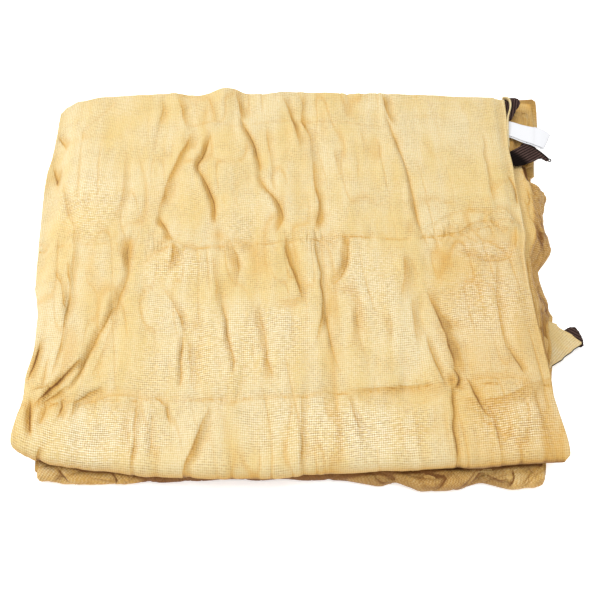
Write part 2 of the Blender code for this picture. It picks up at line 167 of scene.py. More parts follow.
# Creases: the path of the valley, its depth, and how far its two sides reach out
Crease = namedtuple("Crease", "path depth left right")
CREASES = [Crease(*row) for row in (
    # From the back edge to the middle crease
    (((-156, 222), (-155, 204), (-157, 186)), 1.6, 2.5, 3.5),
    (((-157, 184), (-158, 165), (-160, 148)), 0.7, 4.0, 4.0),
    (((-140, 226), (-134, 205), (-127, 180)), 2.0, 6.0, 8.0),
    (((-106, 227), (-102, 209), (-97, 190)), 1.6, 2.5, 6.0),
    (((-121, 171), (-131, 143), (-140, 110), (-147, 77), (-149, 56)), 3.6, 4.0, 7.0),
    (((-149, 58), (-141, 44), (-132, 28)), 3.6, 6.0, 4.5),
    (((-101, 170), (-106, 148), (-113, 127), (-110, 112)), 3.8, 6.0, 3.5),
    (((-112, 122), (-104, 103), (-94, 80), (-90, 50)), 4.2, 5.5, 3.5),
    (((-189, 133), (-187, 105), (-187, 80), (-193, 56)), 1.4, 5.0, 6.0),
    (((-267, 134), (-262, 119), (-257, 106)), 4.6, 1.2, 3.0),
    (((-251, 108), (-243, 72), (-231, 41), (-227, 4), (-224, -43)), 1.6, 3.0, 3.5),
    (((-238, 180), (-238, 164)), 1.2, 2.0, 3.0),
    (((-205, 222), (-222, 200), (-237, 179)), 0.7, 3.5, 3.5),
    (((-76, 238), (-73, 215), (-70, 192)), 3.4, 2.2, 8.0),
    (((-71, 194), (-62, 172), (-53, 150), (-48, 118)), 3.6, 5.0, 4.0),
    (((-49, 112), (-39, 92), (-26, 72), (-24, 56), (-28, 40)), 4.4, 6.0, 5.0),
    (((-42, 176), (-38, 143), (-35, 118)), 1.4, 3.0, 4.0),
    (((-24, 226), (-17, 200), (-9, 170), (-6, 150)), 3.2, 4.0, 6.0),
    (((-3, 228), (-4, 192), (5, 167), (7, 134)), 2.6, 4.0, 5.0),
    (((7, 140), (9, 96), (14, 70), (9, 43)), 3.8, 4.5, 6.0),
    (((30, 150), (33, 130), (36, 108)), 1.0, 4.0, 5.0),
    (((58, 175), (60, 160), (62, 140)), 0.8, 4.0, 5.0),
    (((83, 228), (88, 205), (93, 186)), 3.0, 3.5, 6.0),
    (((74, 165), (76, 150), (76, 132)), 1.4, 9.0, 9.0),
    (((86, 200), (95, 160), (104, 116)), 2.2, 4.0, 3.0),
    (((105, 122), (108, 89), (112, 50), (118, 24)), 3.0, 5.0, 2.5),
    (((210, 114), (214, 98), (216, 77)), 3.0, 3.0, 1.0),
    (((190, 87), (201, 100), (213, 106)), 2.6, 1.4, 4.0),
    (((190, 64), (201, 67), (212, 54)), 2.6, 1.4, 3.0),
    (((177, 54), (185, 60), (186, 47)), 2.4, 1.4, 3.0),
    (((207, 19), (209, 32), (211, 46)), 3.0, 1.2, 3.0),
    (((188, 168), (187, 135), (189, 107), (191, 78)), 1.6, 1.8, 2.5),
    (((-132, 25), (-130, 12), (-134, -8)), 3.4, 5.0, 6.0),
    (((-175, 24), (-176, 8), (-174, -10)), 2.6, 6.0, 7.0),
    (((-266, 178), (-259, 166), (-254, 156)), 3.0, 1.2, 3.0),
    (((-235, -22), (-232, -34), (-229, -47)), 1.4, 2.0, 3.0),
    # Between the middle crease and the front crease
    (((-231, 0), (-226, -40), (-226, -67), (-227, -97), (-231, -128)), 2.6, 1.4, 3.4),
    (((-244, -8), (-234, -33), (-226, -68)), 2.0, 1.2, 3.0),
    (((-178, 24), (-172, -13), (-176, -38), (-182, -62)), 3.6, 8.0, 6.0),
    (((-181, -50), (-191, -81), (-201, -106), (-211, -141)), 3.6, 5.0, 4.0),
    (((-178, -60), (-186, -97), (-196, -130)), 1.0, 4.0, 5.0),
    (((-206, -112), (-222, -131), (-235, -147), (-243, -158)), 5.0, 1.6, 4.6),
    (((-214, -138), (-228, -149), (-241, -160)), 5.4, 1.2, 3.4),
    (((-185, -139), (-196, -148), (-208, -158)), 5.0, 1.2, 3.4),
    (((-244, -142), (-236, -141), (-228, -139)), 3.4, 3.0, 1.2),
    (((-216, -150), (-226, -158), (-236, -162)), 3.0, 1.2, 3.0),
    (((-205, -120), (-210, -133), (-215, -144)), 2.4, 1.4, 3.4),
    (((-244, -98), (-248, -112), (-251, -130)), 1.6, 3.0, 3.5),
    (((-238, -110), (-239, -140)), 1.6, 3.5, 3.5),
    (((-247, -90), (-250, -108), (-253, -130)), 4.4, 1.2, 3.0),
    (((-136, -34), (-126, -48), (-118, -66), (-112, -92)), 2.4, 2.5, 5.0),
    (((-114, -84), (-115, -108), (-113, -140)), 2.6, 4.0, 2.5),
    (((-111, -88), (-107, -110), (-103, -138)), 1.4, 3.0, 4.5),
    (((-92, 6), (-87, -21), (-83, -56)), 1.4, 3.5, 5.0),
    (((-159, -4), (-147, 12), (-128, 26)), 2.8, 5.0, 5.0),
    (((-77, 30), (-65, -4), (-69, -28)), 2.6, 8.0, 7.0),
    (((-79, -50), (-74, -78), (-68, -106), (-66, -126)), 3.4, 5.0, 2.5),
    (((-44, -54), (-39, -85), (-35, -110), (-31, -132)), 2.8, 8.0, 3.5),
    (((-21, 32), (-17, 0), (-8, -30), (-5, -42)), 4.0, 3.5, 6.0),
    (((-4, -38), (-12, -46), (-26, -47)), 2.0, 4.0, 5.0),
    (((8, 34), (12, -2), (15, -34), (16, -62), (10, -90)), 3.0, 2.5, 3.5),
    (((18, -43), (21, -78), (25, -104), (31, -126)), 2.2, 3.5, 3.0),
    (((41, 31), (40, 2), (35, -17), (25, -28)), 4.0, 8.0, 3.0),
    (((47, -42), (49, -78), (53, -106)), 1.8, 7.0, 6.0),
    (((96, 8), (95, -18), (91, -41)), 2.2, 4.0, 7.0),
    (((78, -62), (80, -78), (79, -92)), 1.4, 7.0, 6.0),
    (((117, -38), (124, -66), (131, -94), (136, -128)), 4.3, 3.0, 11.0),
    (((133, -122), (138, -131), (134, -142)), 4.0, 2.0, 4.5),
    (((111, -84), (117, -112), (124, -139)), 3.0, 1.2, 3.5),
    (((102, -45), (101, -70), (103, -95)), 2.2, 3.0, 6.0),
    (((187, -98), (192, -114), (199, -128)), 2.2, 1.2, 3.0),
    (((185, 0), (182, -47), (183, -85), (187, -110), (194, -128)), 1.3, 2.2, 4.0),
    # On the front band
    (((-151, -160), (-151, -193), (-153, -228)), 2.4, 1.2, 3.0),
    (((-137, -168), (-136, -190), (-136, -212)), 0.9, 3.0, 3.0),
    (((-86, -160), (-97, -193), (-109, -229)), 3.2, 1.4, 6.5),
    (((-82, -158), (-70, -160), (-58, -157)), 2.4, 2.0, 6.0),
    (((-248, -152), (-246, -168), (-242, -188)), 4.8, 5.0, 1.4),
    (((-232, -158), (-233, -168), (-236, -178)), 2.8, 5.0, 4.0),
    (((-220, -154), (-219, -163), (-221, -172)), 3.4, 1.4, 3.2),
    (((-206, -156), (-210, -172)), 1.8, 1.5, 3.0),
    (((-135, -151), (-130, -156), (-127, -161)), 2.4, 1.0, 2.6),
    (((-125, -155), (-124, -166), (-121, -177)), 2.2, 0.9, 2.2),
    (((-231, -200), (-234, -205), (-238, -209)), 2.2, 1.0, 2.0),
    (((-3, -150), (-3, -190), (-4, -224)), 2.4, 2.5, 4.0),
    (((38, -150), (44, -170), (48, -196)), 1.8, 3.0, 3.5),
    (((131, -140), (130, -180), (130, -224)), 3.2, 2.5, 3.0),
    (((146, -133), (152, -152), (161, -171)), 3.6, 1.4, 4.2),
    (((163, -158), (168, -186), (170, -216)), 1.6, 1.8, 3.0),
    (((205, -140), (209, -175), (214, -210)), 0.8, 2.5, 3.5),
    # Creases from side to side
    (((-250, 163), (-220, 168), (-188, 170)), 0.6, 2.0, 2.0),
    (((-126, 180), (-112, 183), (-97, 188)), 2.4, 2.0, 4.0),
    (((-95, 180), (-65, 182), (-17, 189), (26, 189), (90, 182), (101, 195)), 0.7, 1.8, 2.2),
    (((101, 195), (132, 194), (166, 195)), 0.6, 1.8, 2.0),
    (((-128, 26), (-112, 18), (-90, 21)), 2.2, 4.0, 4.0),
    (((-92, 21), (-62, 26), (-35, 24), (2, 28)), 1.7, 4.0, 4.0),
    (((14, 32), (44, 33), (70, 30), (96, 28)), 1.5, 3.0, 5.0),
    (((183, 54), (164, 47), (148, 38), (128, 42)), 3.4, 1.2, 4.0),
    (((190, 67), (166, 67), (140, 58), (122, 46)), 2.0, 1.2, 4.0),
    (((186, 50), (200, 53), (216, 50)), 2.4, 1.4, 3.0),
    (((150, 14), (168, 5), (186, 2), (200, 8), (205, 24)), 3.4, 1.6, 4.0),
    (((-250, -161), (-230, -153), (-204, -157), (-167, -151), (-131, -155)), 2.6, 4.0, 6.0),
    (((-131, -155), (-94, -157), (-50, -155), (-4, -151)), 1.8, 4.0, 4.5),
    (((-4, -151), (17, -146), (38, -148)), 1.8, 3.0, 5.0),
    (((126, -139), (94, -140), (67, -142), (38, -143)), 3.6, 1.2, 12.0),
    (((117, -139), (140, -134), (187, -133), (224, -140)), 1.2, 3.0, 5.0),
    (((222, -130), (188, -146), (165, -154), (142, -153)), 3.4, 1.4, 11.0),
)]
END_DEPTH = 0.2             # share of a crease's depth that is left at its ends
DEPTH_SHARE = 0.66          # how much of the table's depth the cloth has
BAND_WIDTH = 1.05           # the slope's width as a share of the table's
NARROW = 0.3                # and its share on the narrower side
RISE_START = 1.8            # how quickly the cloth rises again beyond the slope
RISE_SHARE = 0.3
RISE_ROUND = 1.4
RIDGE = 0.26                # height of the ridge just before the slope
RIDGE_BEFORE = 1.0
RIDGE_WIDTH = 3.5
LEAN_UP = 0.34              # the cloth stands higher on the left, as a share of the depth
LEAN_DOWN = 0.16            # and lower on the right
LEAN_START = 5.0
LEAN_WIDTH = 15.0
CREASE_REACH = 32.0         # a crease reaches this far, and this many of its widths more
REACH_WIDTHS = 3.0
UNEVEN = 0.45               # how much its width and its depth change along it
WIDTH_CELLS = Cells(21.0, 12.0, 41)
DEPTH_CELLS = Cells(29.0, 17.0, 42)
CREASE_WOBBLE = 1.3         # and how far it strays from its path
WOBBLE_CELLS = Cells(11.0, 14.0, 43)
CREASE_SHADE_DEPTH = 3.8            # a crease of this depth has the full painted shade
CREASE_SHADE_POWER = 0.8
LEVEL_SHADE = 0.6            # creases from side to side have less of it
NARROW_BAND = 4.5           # a narrow crease's width, and how much wider a broad one is
BROADER = 6.0
BAND_SHADE = (0.5, 0.9)      # painted shade on the slope, which faces away from the light, in narrow and broad ones
BAND_SOFT = 0.6             # how softly the band of painted shade ends
LINE_SHADE = (1.15, 0.55)    # painted shade of the dark line along narrow and broad ones
LINE_WIDTH = 0.95
LINE_DEPTH = 0.4
LINE_REACH = 6.0            # the material draws the line from the distance stored around it
LINE_FADE = 4.0

# Painted shade: it darkens the colour where the cloth lies lower than its surroundings,
# out to some rows and columns, and in all the layers below
PAINTED_SHADE_DEPTH = 1.25
PAINTED_SHADE_NEAR = (3, 7)
PAINTED_SHADE_STEEP = 1.0          # and on slopes of this many millimetres for each column
PAINTED_SHADE_LEVEL = 0.18
PAINTED_SHADE_SHARE = 0.5
PAINTED_SHADE_LOOSE = 0.15         # the loose corner has little painted shade, and what lies below has streaks of it
PAINTED_SHADE_BELOW = 1.0
BELOW_STREAKS = 0.5
BELOW_CELLS = Cells(4.0, 31.0, 91)
PAINTED_SHADE_UNDER = 1.25         # painted shade deepens where the front of the bundle turns under
UNDER = Fade(0.92, -0.65)
UNDER_RIGHT = 0.4           # still more so on the right
PAINTED_SHADE_RIGHT = 0.4          # and a little painted shade all over the front of the right side, further from the light
RIGHT_SIDE = Fade(100, 60)
RIGHT_FRONT = Fade(60, -40)
PAINTED_SHADE_MOST = 1.8

# Soft ridges and hollows: centre, size and height
Mound = namedtuple("Mound", "x y wide deep turn height")
MOUNDS = [Mound(*row) for row in (
    (-90, 222, 12, 26, -4, 3.6),
    (-86, 120, 14, 40, -8, 2.2),
    (-128, 120, 9, 34, 12, 1.6),
    (70, 130, 24, 60, 4, 1.8),
    (-40, 205, 18, 24, 0, 1.4),
    (30, 190, 16, 40, 4, 1.4),
    (-205, 60, 26, 50, 0, 1.2),
    (92, -75, 16, 36, 8, 2.6),
    (-30, -15, 12, 30, 4, 2.0),
    (26, 8, 8, 24, -3, 1.6),
    (178, 24, 26, 9, 6, -1.4),
    (-150, -95, 18, 36, 10, 1.6),
    (-90, -70, 10, 40, 6, 1.6),
    (0, -80, 14, 40, 0, 1.2),
    (-216, -100, 9, 34, 22, 1.8),
    (185, -60, 30, 50, 0, 0.8),
)]

# Small pockets where creases meet, darkened with painted shade: centre, size and depth
POCKETS = [Mound(*row) for row in (
    (-227, -138, 3.0, 12, -40, -3.4),
    (-246, -168, 3.6, 12, 0, -3.4),
    (-233, -167, 5.0, 8, -6, -1.8),
    (-219, -162, 2.6, 6, 0, -2.0),
    (-251, -112, 2.4, 14, -8, -2.4),
    (-254, -96, 3.0, 5, 30, -2.0),
    (-176, 26, 6.0, 6, 0, -2.0),
    (-175, 8, 4.5, 16, 0, -1.6),
    (-138, 31, 5.0, 5, 20, -1.8),
    (-87, 34, 6.0, 9, 10, -2.2),
    (-60, 27, 4.0, 4, 0, -1.4),
    (-26, 64, 4.0, 17, -4, -2.8),
    (14, 54, 6.5, 10, 6, -2.0),
    (39, 27, 3.0, 6, 0, -2.0),
    (104, 43, 4.0, 11, -12, -1.3),
    (96, 160, 6.0, 14, 6, -1.2),
    (132, -134, 5.0, 7, 10, -2.8),
    (126, -84, 4.0, 20, 14, -1.2),
    (187, 52, 5.0, 3, 0, -2.0),
    (178, 53, 4.0, 3, 0, -1.6),
    (-106, 138, 4.0, 10, -8, -1.8),
    (-93, 62, 3.6, 12, 0, -2.2),
    (-128, 160, 3.0, 6, 12, -1.2),
    (-108, 200, 4.0, 14, -6, -1.4),
    (-258, 120, 2.4, 9, -10, -3.0),
)]
POCKET_DEPTH = 0.6          # how much of their depth the cloth has
POCKET_SHADE = 0.34          # their painted shade for each millimetre of it

# The hem's inner line on the right, from front to back
HEM_LINE = [Point(*row) for row in (
    (214, -60), (213, -12), (210, 5), (208, 24), (208, 48), (208, 73), (206, 93),
    (205, 118), (206, 149), (207, 184), (207, 230),
)]
HEM_START = Fade(-40, 30.0)
HEM_STRENGTH = 0.75         # how strong the hem's relief is, and how much that changes
HEM_CHANGE = 0.45
HEM_CELLS = Cells(60.0, 24.0, 71)
Ramp = namedtuple("Ramp", "height inset width")
HEM_GROOVE = Ramp(-0.8, 0.0, 1.7)   # beside the inner line
HEM_STEP = Ramp(-0.8, 0.0, 3.0)
HEM_RIM = Ramp(1.3, 3.6, 2.4)       # along the cloth's edge
EDGE_DROP = Ramp(-1.6, 14.0, 14.0)

# Small gathers on both sides of the two main creases from side to side: the crease's
# line, how far from it they reach, their height and what is added to their seeds
Puckers = namedtuple("Puckers", "line near height seed")
PUCKERS = (
    Puckers(((-175, 22), (-120, 16), (-35, 24), (44, 32), (93, 28), (137, 34), (214, 53)),
            15.0, 1.2, 3),
    Puckers(((-250, -158), (-131, -155), (-4, -151), (117, -139), (224, -138)),
            12.0, 1.1, 5),
)
PUCKER_FALL = 1.5           # how steeply they end
LONG_GATHERS = Cells(8.0, 20.0, 0)
SHORT_GATHERS = Cells(5.0, 11.0, 1)
SHORT_SHARE = 0.7
GATHERS_SHOWN = 0.45        # they show where another relief is above minus this
GATHER_PATCHES = Cells(21.0, 17.0, 30)
FOLD_WIDTH = 1.7            # the sharp fold along the line itself
FOLD_SHOWN = 0.5
FOLD_PATCHES = Cells(9.0, 9.0, 2)
GATHER_SWELL = 0.8          # swelling between the gathers, and their depth
SWELL_CELLS = Cells(9.0, 17.0, 3)
GATHER_DEPTH = 1.2
SPOTS = Cells(4.0, 5.0, 40)     # small spots of painted shade on the line, and specks of it beside it
SPECKS = Cells(3.2, 4.0, 50)
SPECK_PATCHES = Cells(13.0, 9.0, 60)
SPECK_EDGE = 2.0
# Painted shade in the gathers, along the fold, in the spots and in the specks
GATHER_SHADE = 0.45
FOLD_SHADE = 0.45
SPOT_SHADE = 0.8
SPECK_SHADE = 0.5
GATHER_SLANT = 0.1          # gathers run a little askew
GATHER_WIDTH = 0.13

# Faint creases, mostly from front to back: their cells and depth
FINE_LINES = ((Cells(21.0, 95.0, 51), 0.75), (Cells(14.0, 52.0, 52), 0.55))
FINE_SLANT = 0.12
FINE_WIDTH = 0.09
FINE_SHOWN = 0.4            # they come and go with another relief
FINE_CHANGE = 1.6
FINE_PATCHES = Cells(46.0, 60.0, 10)
# Painted shade in the faint creases
FINE_SHADE = 0.55

# Unplanned wrinkles: their height and cells
CRUMPLES = (
    (0.55, Cells(11.0, 62.0, 11)),
    (0.40, Cells(6.5, 38.0, 12)),
    (0.16, Cells(5.0, 8.0, 14)),
    (1.1, Cells(24.0, 46.0, 13)),
)

# Two corners at the back where the cloth is calmer, by this share
Calm = namedtuple("Calm", "across back share")
CALM_PLACES = (
    Calm(Fade(-150, -30), Fade(120, 60), 0.75),
    Calm(Fade(110, 30), Fade(60, 30), 0.65),
)

# Slow swelling between the creases from side to side
MIDDLE_CREASE = 25
FRONT_CREASE = -150
PANEL_HEIGHT = 1.2
FRONT_FALL = 2.0
FRONT_BAND = 60
SLOW_SWELL = 0.8
SLOW_LENGTHS = (41.0, 57.0)
SLOW_START = 0.6

# How far the bundle sinks at its right edge, then at its left one, where it hangs down
# less near its back and its front
Droop = namedtuple("Droop", "fade depth")
DROOPS = (
    Droop(Fade(200, 18), 2.0),
    Droop(Fade(-225, -24), 4.0),
    Droop(Fade(-246, -18), 10.0),
)
HANG_BACK = Fade(160, 45)
HANG_FRONT = Fade(-130, -50)

# Waves of the lower layers, seen under the front on the right
Wave = namedtuple("Wave", "x y height width")
WAVES = [Wave(*row) for row in (
    (70, -215, 1.2, 14),
    (88, -215, -1.2, 10),
    (118, -215, 1.4, 18),
    (152, -215, -1.4, 9),
    (182, -215, 1.3, 15),
)]
WAVE_DEPTH = 16.0

# The loose corner of a lower layer that sticks out on the right
CORNER_LAYER = 3
CORNER_REACH = 31
Tip = namedtuple("Tip", "y reach")
CORNER = [Tip(*row) for row in (
    (-46, 0), (-58, 7), (-68, 22), (-76, CORNER_REACH), (-84, 22), (-94, 12), (-104, 0),
)]
CORNER_DROOP = 3.0
CORNER_START = 0.90         # share of the width where the corner begins to reach out
CORNER_KNIT = 226           # the knit's rows run askew and closer from here to the right
CORNER_CLOSER = 0.7

# Pieces sewn under the top layer's right edge: two edges of each strip, point by point
SEAM_GAP = 0.8
SEAT_EDGE = 218
Rib = namedtuple("Rib", "x_one y_one x_two y_two fall")
STRAP = [Rib(*row) for row in (
    (203, 197, 222, 197, 0.0),
    (206, 204, 225, 203, 0.0),
    (210, 211, 228, 210, 0.4),
    (214, 219, 232, 217, 0.9),
    (216, 225, 234.6, 223, 1.3),
    (219, 230, 233.6, 229, 1.9),
    (222, 231.8, 230.5, 231.8, 2.6),
)]
LABEL = [Rib(*row) for row in (
    (206, 194, 206, 174, 0.0),
    (220, 194, 218, 173, 0.0),
    (232, 189.5, 231, 166, 0.3),
    (244, 186, 240, 162, 0.5),
    (247, 186.5, 243, 160.5, 1.0),
    (255, 182.5, 248, 158, 1.2),
    (262, 176.5, 252.5, 156, 2.0),
)]
CORNER_WEBBING = [Rib(*row) for row in (
    (204, 142, 204, 124, 0.0),
    (217, 150, 217, 129, 0.0),
    (227, 158, 226, 131.5, 1.2),
    (236, 166, 234, 135.5, 3.0),
    (244, 158.5, 241.5, 141, 4.8),
    (251, 151.5, 248, 145.5, 6.0),
    (256.5, 145, 255, 141.8, 7.0),
)]
STRAP_GRID = (70, 36)       # points along and across each strip
WEBBING_GRID = (110, 60)
LABEL_GRID = (60, 24)
PATCH_GRID = (56, 44)
RIB_PITCH = 2.9
RIB_RISE = 0.6
RIB_HIGHLIGHT = 1.2              # how much greyer the ribs' crests are, a painted highlight
RIB_ROUND = 1.5
PLAIN_TINT = 0.1            # and what has no ribs
WEBBING_RIBS = (19.0, 16.0)
STRAP_RIBS = (6.0, 30.0)
PATCH_RIBS = (14.0, -9.0)
WEBBING_SHADE = Fade(376.0, -14.0)  # x and y together where its lower left part turns dark
BOUND_FROM = 40             # its back edge is bound from this row on
BOUND_LIFT = 0.3
BOUND_RADIUS = 1.25
LOOP_STEPS = 17             # the small loop at its tip
LOOP_RADIUS = 1.5
LOOP_WIRE = 0.65
LOOP_TILT = 0.15
LOOP_OFFSET = (1.2, -1.2, 0.2)
TAPE_FOLD = 0.55            # half the gap between the tape's two plies
TAPE_TURN = (54, 5.0)       # the row where they begin to close, and how many rows that takes
TAPE_SHIFT = -1.3           # how far the lower one shows in front
TAPE_ASIDE = 0.5            # and to the side, as a share of that
KNOTS = ((241, 163.6), (235, 164.8), (219.5, 172.8))
KNOT_RADIUS = 0.85
KNOT_STEPS = 9
KNOT_POLE = 0.02            # how close to its ends a knot is drawn, in radians
KNOT_DROP = 1.0

# The dark patch under the loose corner's tip
PATCH_SEAT = 9.3
CORNER_PATCH = [Rib(*row) for row in (
    (245, -64, 243, -70, 0.1),
    (249, -60.5, 248, -73, 0.3),
    (254, -57, 253, -76, 0.6),
    (260, -56.5, 258, -78, 0.9),
    (263.5, -61.5, 262, -79, 1.1),
    (266, -71, 265.6, -77.5, 1.2),
)]
PATCH_TIP = Point(266, -79)  # the patch's furthest point to the right and the front
BINDING = 0.75              # half the width of the binding along its front edge
BINDING_SPAN = (-103.0, -75.0)
BINDING_STEPS = 40
BINDING_SIDES = 8
BINDING_DROP = 0.4

# The hem at the back right corner rolls into a loop
Bow = namedtuple("Bow", "x y")
HEM_LOOP = [Bow(*row) for row in (
    (215, 157), (216.2, 179), (218, 197), (220.4, 206), (222.3, 213), (223, 220),
    (222, 225.6), (219, 227.8), (215.2, 227.6),
)]
LOOP_GRID = (60, 6)
HEM_HEIGHT = 3.4
HEM_PLY = 1.8
HEM_LIFT = 0.6              # it stands above the top layer at the corner
LIFT_ENDS = (-0.4, 2.0)
HEM_SINK = 2.0              # and goes under it further to the front
SINK_ENDS = (1.0, -1.5)

# Cloth folded down over the layers' edges on the right, from back to front: it leaves
# the top layer, turns down over a ridge and reaches its foot, at these heights
Fold = namedtuple("Fold", "y inner_z ridge_x ridge_z wall_x wall_z foot_x foot_z")
SIDE_FOLD = [Fold(*row) for row in (
    (150, 28.0, 225, 26.0, 228, 15, 234, 9.0),
    (136, 30.0, 226, 29.5, 228.5, 16, 236, 6.0),
    (124, 32.0, 227, 31.5, 229.5, 16, 238, 4.5),
    (116, 34.0, 229, 32.5, 235, 22, 248, 9.0),
    (108, 35.0, 231.5, 32.5, 246, 23, 253.5, 7.0),
    (98, 35.3, 233, 32.5, 245, 22, 251, 4.0),
    (86, 35.3, 233.3, 32.3, 241, 22, 248, 3.5),
    (68, 35.3, 232.3, 32.3, 240.5, 22, 248, 3.5),
    (50, 35.3, 230.5, 32.3, 241, 22, 250, 5.0),
    (40, 35.3, 229, 32.0, 241, 21, 251, 8.5),
    (34, 35.3, 227, 32.0, 239, 21, 249, 8.0),
    (25, 35.0, 223.5, 31.5, 230.5, 19, 242, 4.5),
    (17, 34.5, 221, 31.0, 224.5, 12, 235, 3.5),
    (5, 34.0, 220.5, 30.5, 224.5, 13, 235, 3.5),
    (-12, 34.0, 219.5, 30.0, 225.5, 14, 236.5, 3.5),
    (-28, 34.0, 220.5, 29.5, 229.5, 15, 241, 3.5),
    (-38, 33.5, 221.5, 29.0, 230.5, 16, 240.5, 5.0),
    (-47, 33.0, 222, 28.0, 229, 17, 236, 11.0),
    (-60, 33.0, 222.3, 26.0, 227.0, 16.0, 234, 18.0),
    (-80, 33.0, 222.5, 26.0, 226.0, 16.5, 232.3, 19.0),
    (-96, 33.0, 223.5, 25.5, 226, 18, 230.2, 20),
    (-110, 33.0, 224, 25.0, 225.5, 20.5, 227.5, 21.5),
)]
SIDE_STEP = 1.5
SIDE_COLUMNS = 44
SIDE_INSET = 12             # how far it reaches in under the top layer
SIDE_TUCK = (1.6, 1.5)      # the layers' edges stay this far below it and inside it
SIDE_BLEND = 10
SIDE_LEAST = 0.5            # and it falls at least this much from one line to the next
FREE_REACH = 60.0           # where there is none, it stops nothing
HELD_BELOW = 2.0            # how soon it stops the layers below the top one
EDGE_SHARE = (0.35, 0.65)   # under the top layer's edge it lies between those two heights
EDGE_FALL = 0.4
SIDE_RIDGE = ((-1.4, 0.0), (1.0, -1.3))  # its rounded ridge, from the table's ridge
SIDE_SWELLS = ((1.1, 12.0, Cells(1.0, 30.0, 61)), (0.7, 24.0, Cells(1.0, 13.0, 62)))
SIDE_GATHERS = (0.7, 20.0, Cells(2.2, 19.0, 63))
SIDE_SLANT = 0.12
SIDE_SHOWN = (0.2, 4.0)     # its relief begins at this share of the way, so steeply
SIDE_RISE = 0.6
SIDE_WALL = 2.5             # width of the ridge, beyond which painted shade falls on the wall
SIDE_BESIDE = (3.0, Fade(14.0, -12.0))  # a strip of painted shade beside the ridge, in front
SIDE_RIM = ((0.9, 14.0), Fade(-50.0, -10.0))  # and a paler rim at its foot, in front, with less painted shade
SIDE_FRONT = Fade(-35.0, -20.0)
SIDE_BACK = Fade(112.0, 10.0)
# Painted shade of the side fold: base, on its wall and more in front, beside its ridge, less on
# its rim, in gathers, at its back, in creases, and the most
SidePaintedShade = namedtuple("SidePaintedShade", "base wall front beside rim gathers back crease most")
SIDE_PAINTED_SHADE = SidePaintedShade(0.45, 0.8, 0.3, 0.8, 0.9, 0.5, 1.2, 0.7, 2.0)
# Painted glints on the side fold: a level, and more on its wall between a front and a back
SIDE_SHINE = (0.1, 0.45, Fade(-60.0, 30.0), Fade(118.0, -10.0))
SIDE_CREASES = [Crease(*row) for row in (
    (((224, 124), (227, 115), (223, 109)), 1.8, 2.0, 2.5),
    (((231, 112), (232, 106), (234, 99)), 2.4, 1.6, 2.5),
    (((240, 115), (244, 106), (249, 96)), 3.0, 2.0, 3.0),
    (((231, 56), (234, 46), (238, 34)), 2.2, 1.8, 2.2),
    (((234, 60), (238, 50), (241, 40)), 1.2, 1.8, 2.2),
    (((229, -18), (233, -30), (232, -46)), 2.0, 2.0, 2.5),
    (((234, -22), (237, -32), (236, -42)), 1.8, 1.6, 2.0),
    (((224, 4), (225, -14), (227, -34)), 1.4, 2.5, 3.5),
    (((226, 101), (229, 88), (227, 74)), 2.4, 1.6, 3.0),
    (((221, 90), (226, 76), (225, 58)), 2.0, 1.6, 3.0),
    (((228, 64), (231, 52), (228, 38)), 2.2, 1.6, 3.0),
    (((240, 92), (244, 78), (242, 60)), 2.4, 2.0, 3.4),
    (((238, 70), (242, 54), (247, 44)), 2.0, 2.0, 3.0),
)]

# Cloth rolled over the lower layers' edges at the front: distance behind their front
# line and height, from under the bundle to the ground
Step = namedtuple("Step", "back height")
FRONT_ROLL = [Step(*row) for row in (
    (20, 15.2), (10, 15.2), (4, 14.2), (0.6, 11.5), (-0.4, 7.5), (0.4, 3.6), (3.0, 1.2),
)]
ROLL_STEP = 1.1
ROLL_ROWS = 40
ROLL_TURN = 0.9             # its knit runs askew
ROLL_ENDS = (-238, 211)
ROLL_WAY = 36.0             # the way round it, as its creases count it
ROLL_DEPTH = 0.8            # its gathers: depth, then slant, share and cells of each kind
ROLL_GATHERS = ((0.9, 1.0, Cells(15.0, 26.0, 81)), (-0.7, 0.6, Cells(9.0, 18.0, 82)))
ROLL_SWELL = 1.4
ROLL_CELLS = Cells(21.0, 15.0, 83)
ROLL_TOP = Fade(4.0, 5.0)   # it is smooth at its top and its foot
ROLL_FOOT = Fade(40.0, -9.0)
ROLL_LEFT = Fade(-239.0, 4.0)  # and tapers at its ends, further back and lower
ROLL_RIGHT = Fade(212.0, -4.0)
ROLL_BACK = 4.0
ROLL_LOW = 0.55
ROLL_GROUND = 1.2
ROLL_LEAST = 1.0
ROLL_WAVED = 12.0           # from this height up the layers' waves show fully
# Painted shade of the roll: everywhere, in its creases and gathers, where it turns under the
# bundle, in its middle, at its foot, and the most
RollPaintedShade = namedtuple("RollPaintedShade", "base crease gathers under middle foot most")
ROLL_PAINTED_SHADE = RollPaintedShade(0.7, 0.75, 0.35, 1.4, 0.5, 0.35, 2.0)
ROLL_UNDER = Fade(1.0, 5.0)
ROLL_MIDDLE = (Fade(20.0, 30.0), Fade(185.0, -15.0))
ROLL_LOWER = Fade(17.0, 8.0)
# Painted glints on the roll
ROLL_SHINE = 0.35
ROLL_CREASES = [Crease(*row) for row in (
    (((-219, 12), (-214, 17), (-208, 25)), 4.5, 2.0, 3.0),
    (((-226, 16), (-218, 20), (-212, 22)), 2.0, 1.5, 3.0),
    (((-209, 12), (-199, 13), (-172, 14)), 2.4, 1.2, 2.5),
    (((-196, 18), (-180, 22), (-168, 26)), 1.6, 2.0, 4.0),
    (((-171, 16), (-166, 22), (-167, 27)), 3.0, 1.5, 2.5),
    (((-142, 12), (-139, 20), (-140, 28)), 2.4, 1.5, 2.5),
    (((55, 11), (67, 16), (77, 22), (76, 28)), 4.0, 2.0, 4.0),
    (((60, 21), (72, 27), (94, 29)), 2.4, 2.0, 3.0),
    (((105, 7), (114, 10), (123, 15), (118, 24)), 3.8, 1.6, 4.0),
    (((138, 29), (148, 19), (160, 12)), 4.8, 2.5, 4.5),
    (((131, 27), (142, 18), (152, 11)), 2.6, 1.5, 3.0),
    (((159, 17), (170, 21), (180, 15)), 2.8, 1.6, 3.2),
    (((182, 6), (183, 15), (179, 26)), 3.2, 1.6, 3.2),
    (((196, 7), (196, 14), (191, 22)), 2.8, 3.2, 1.6),
)]

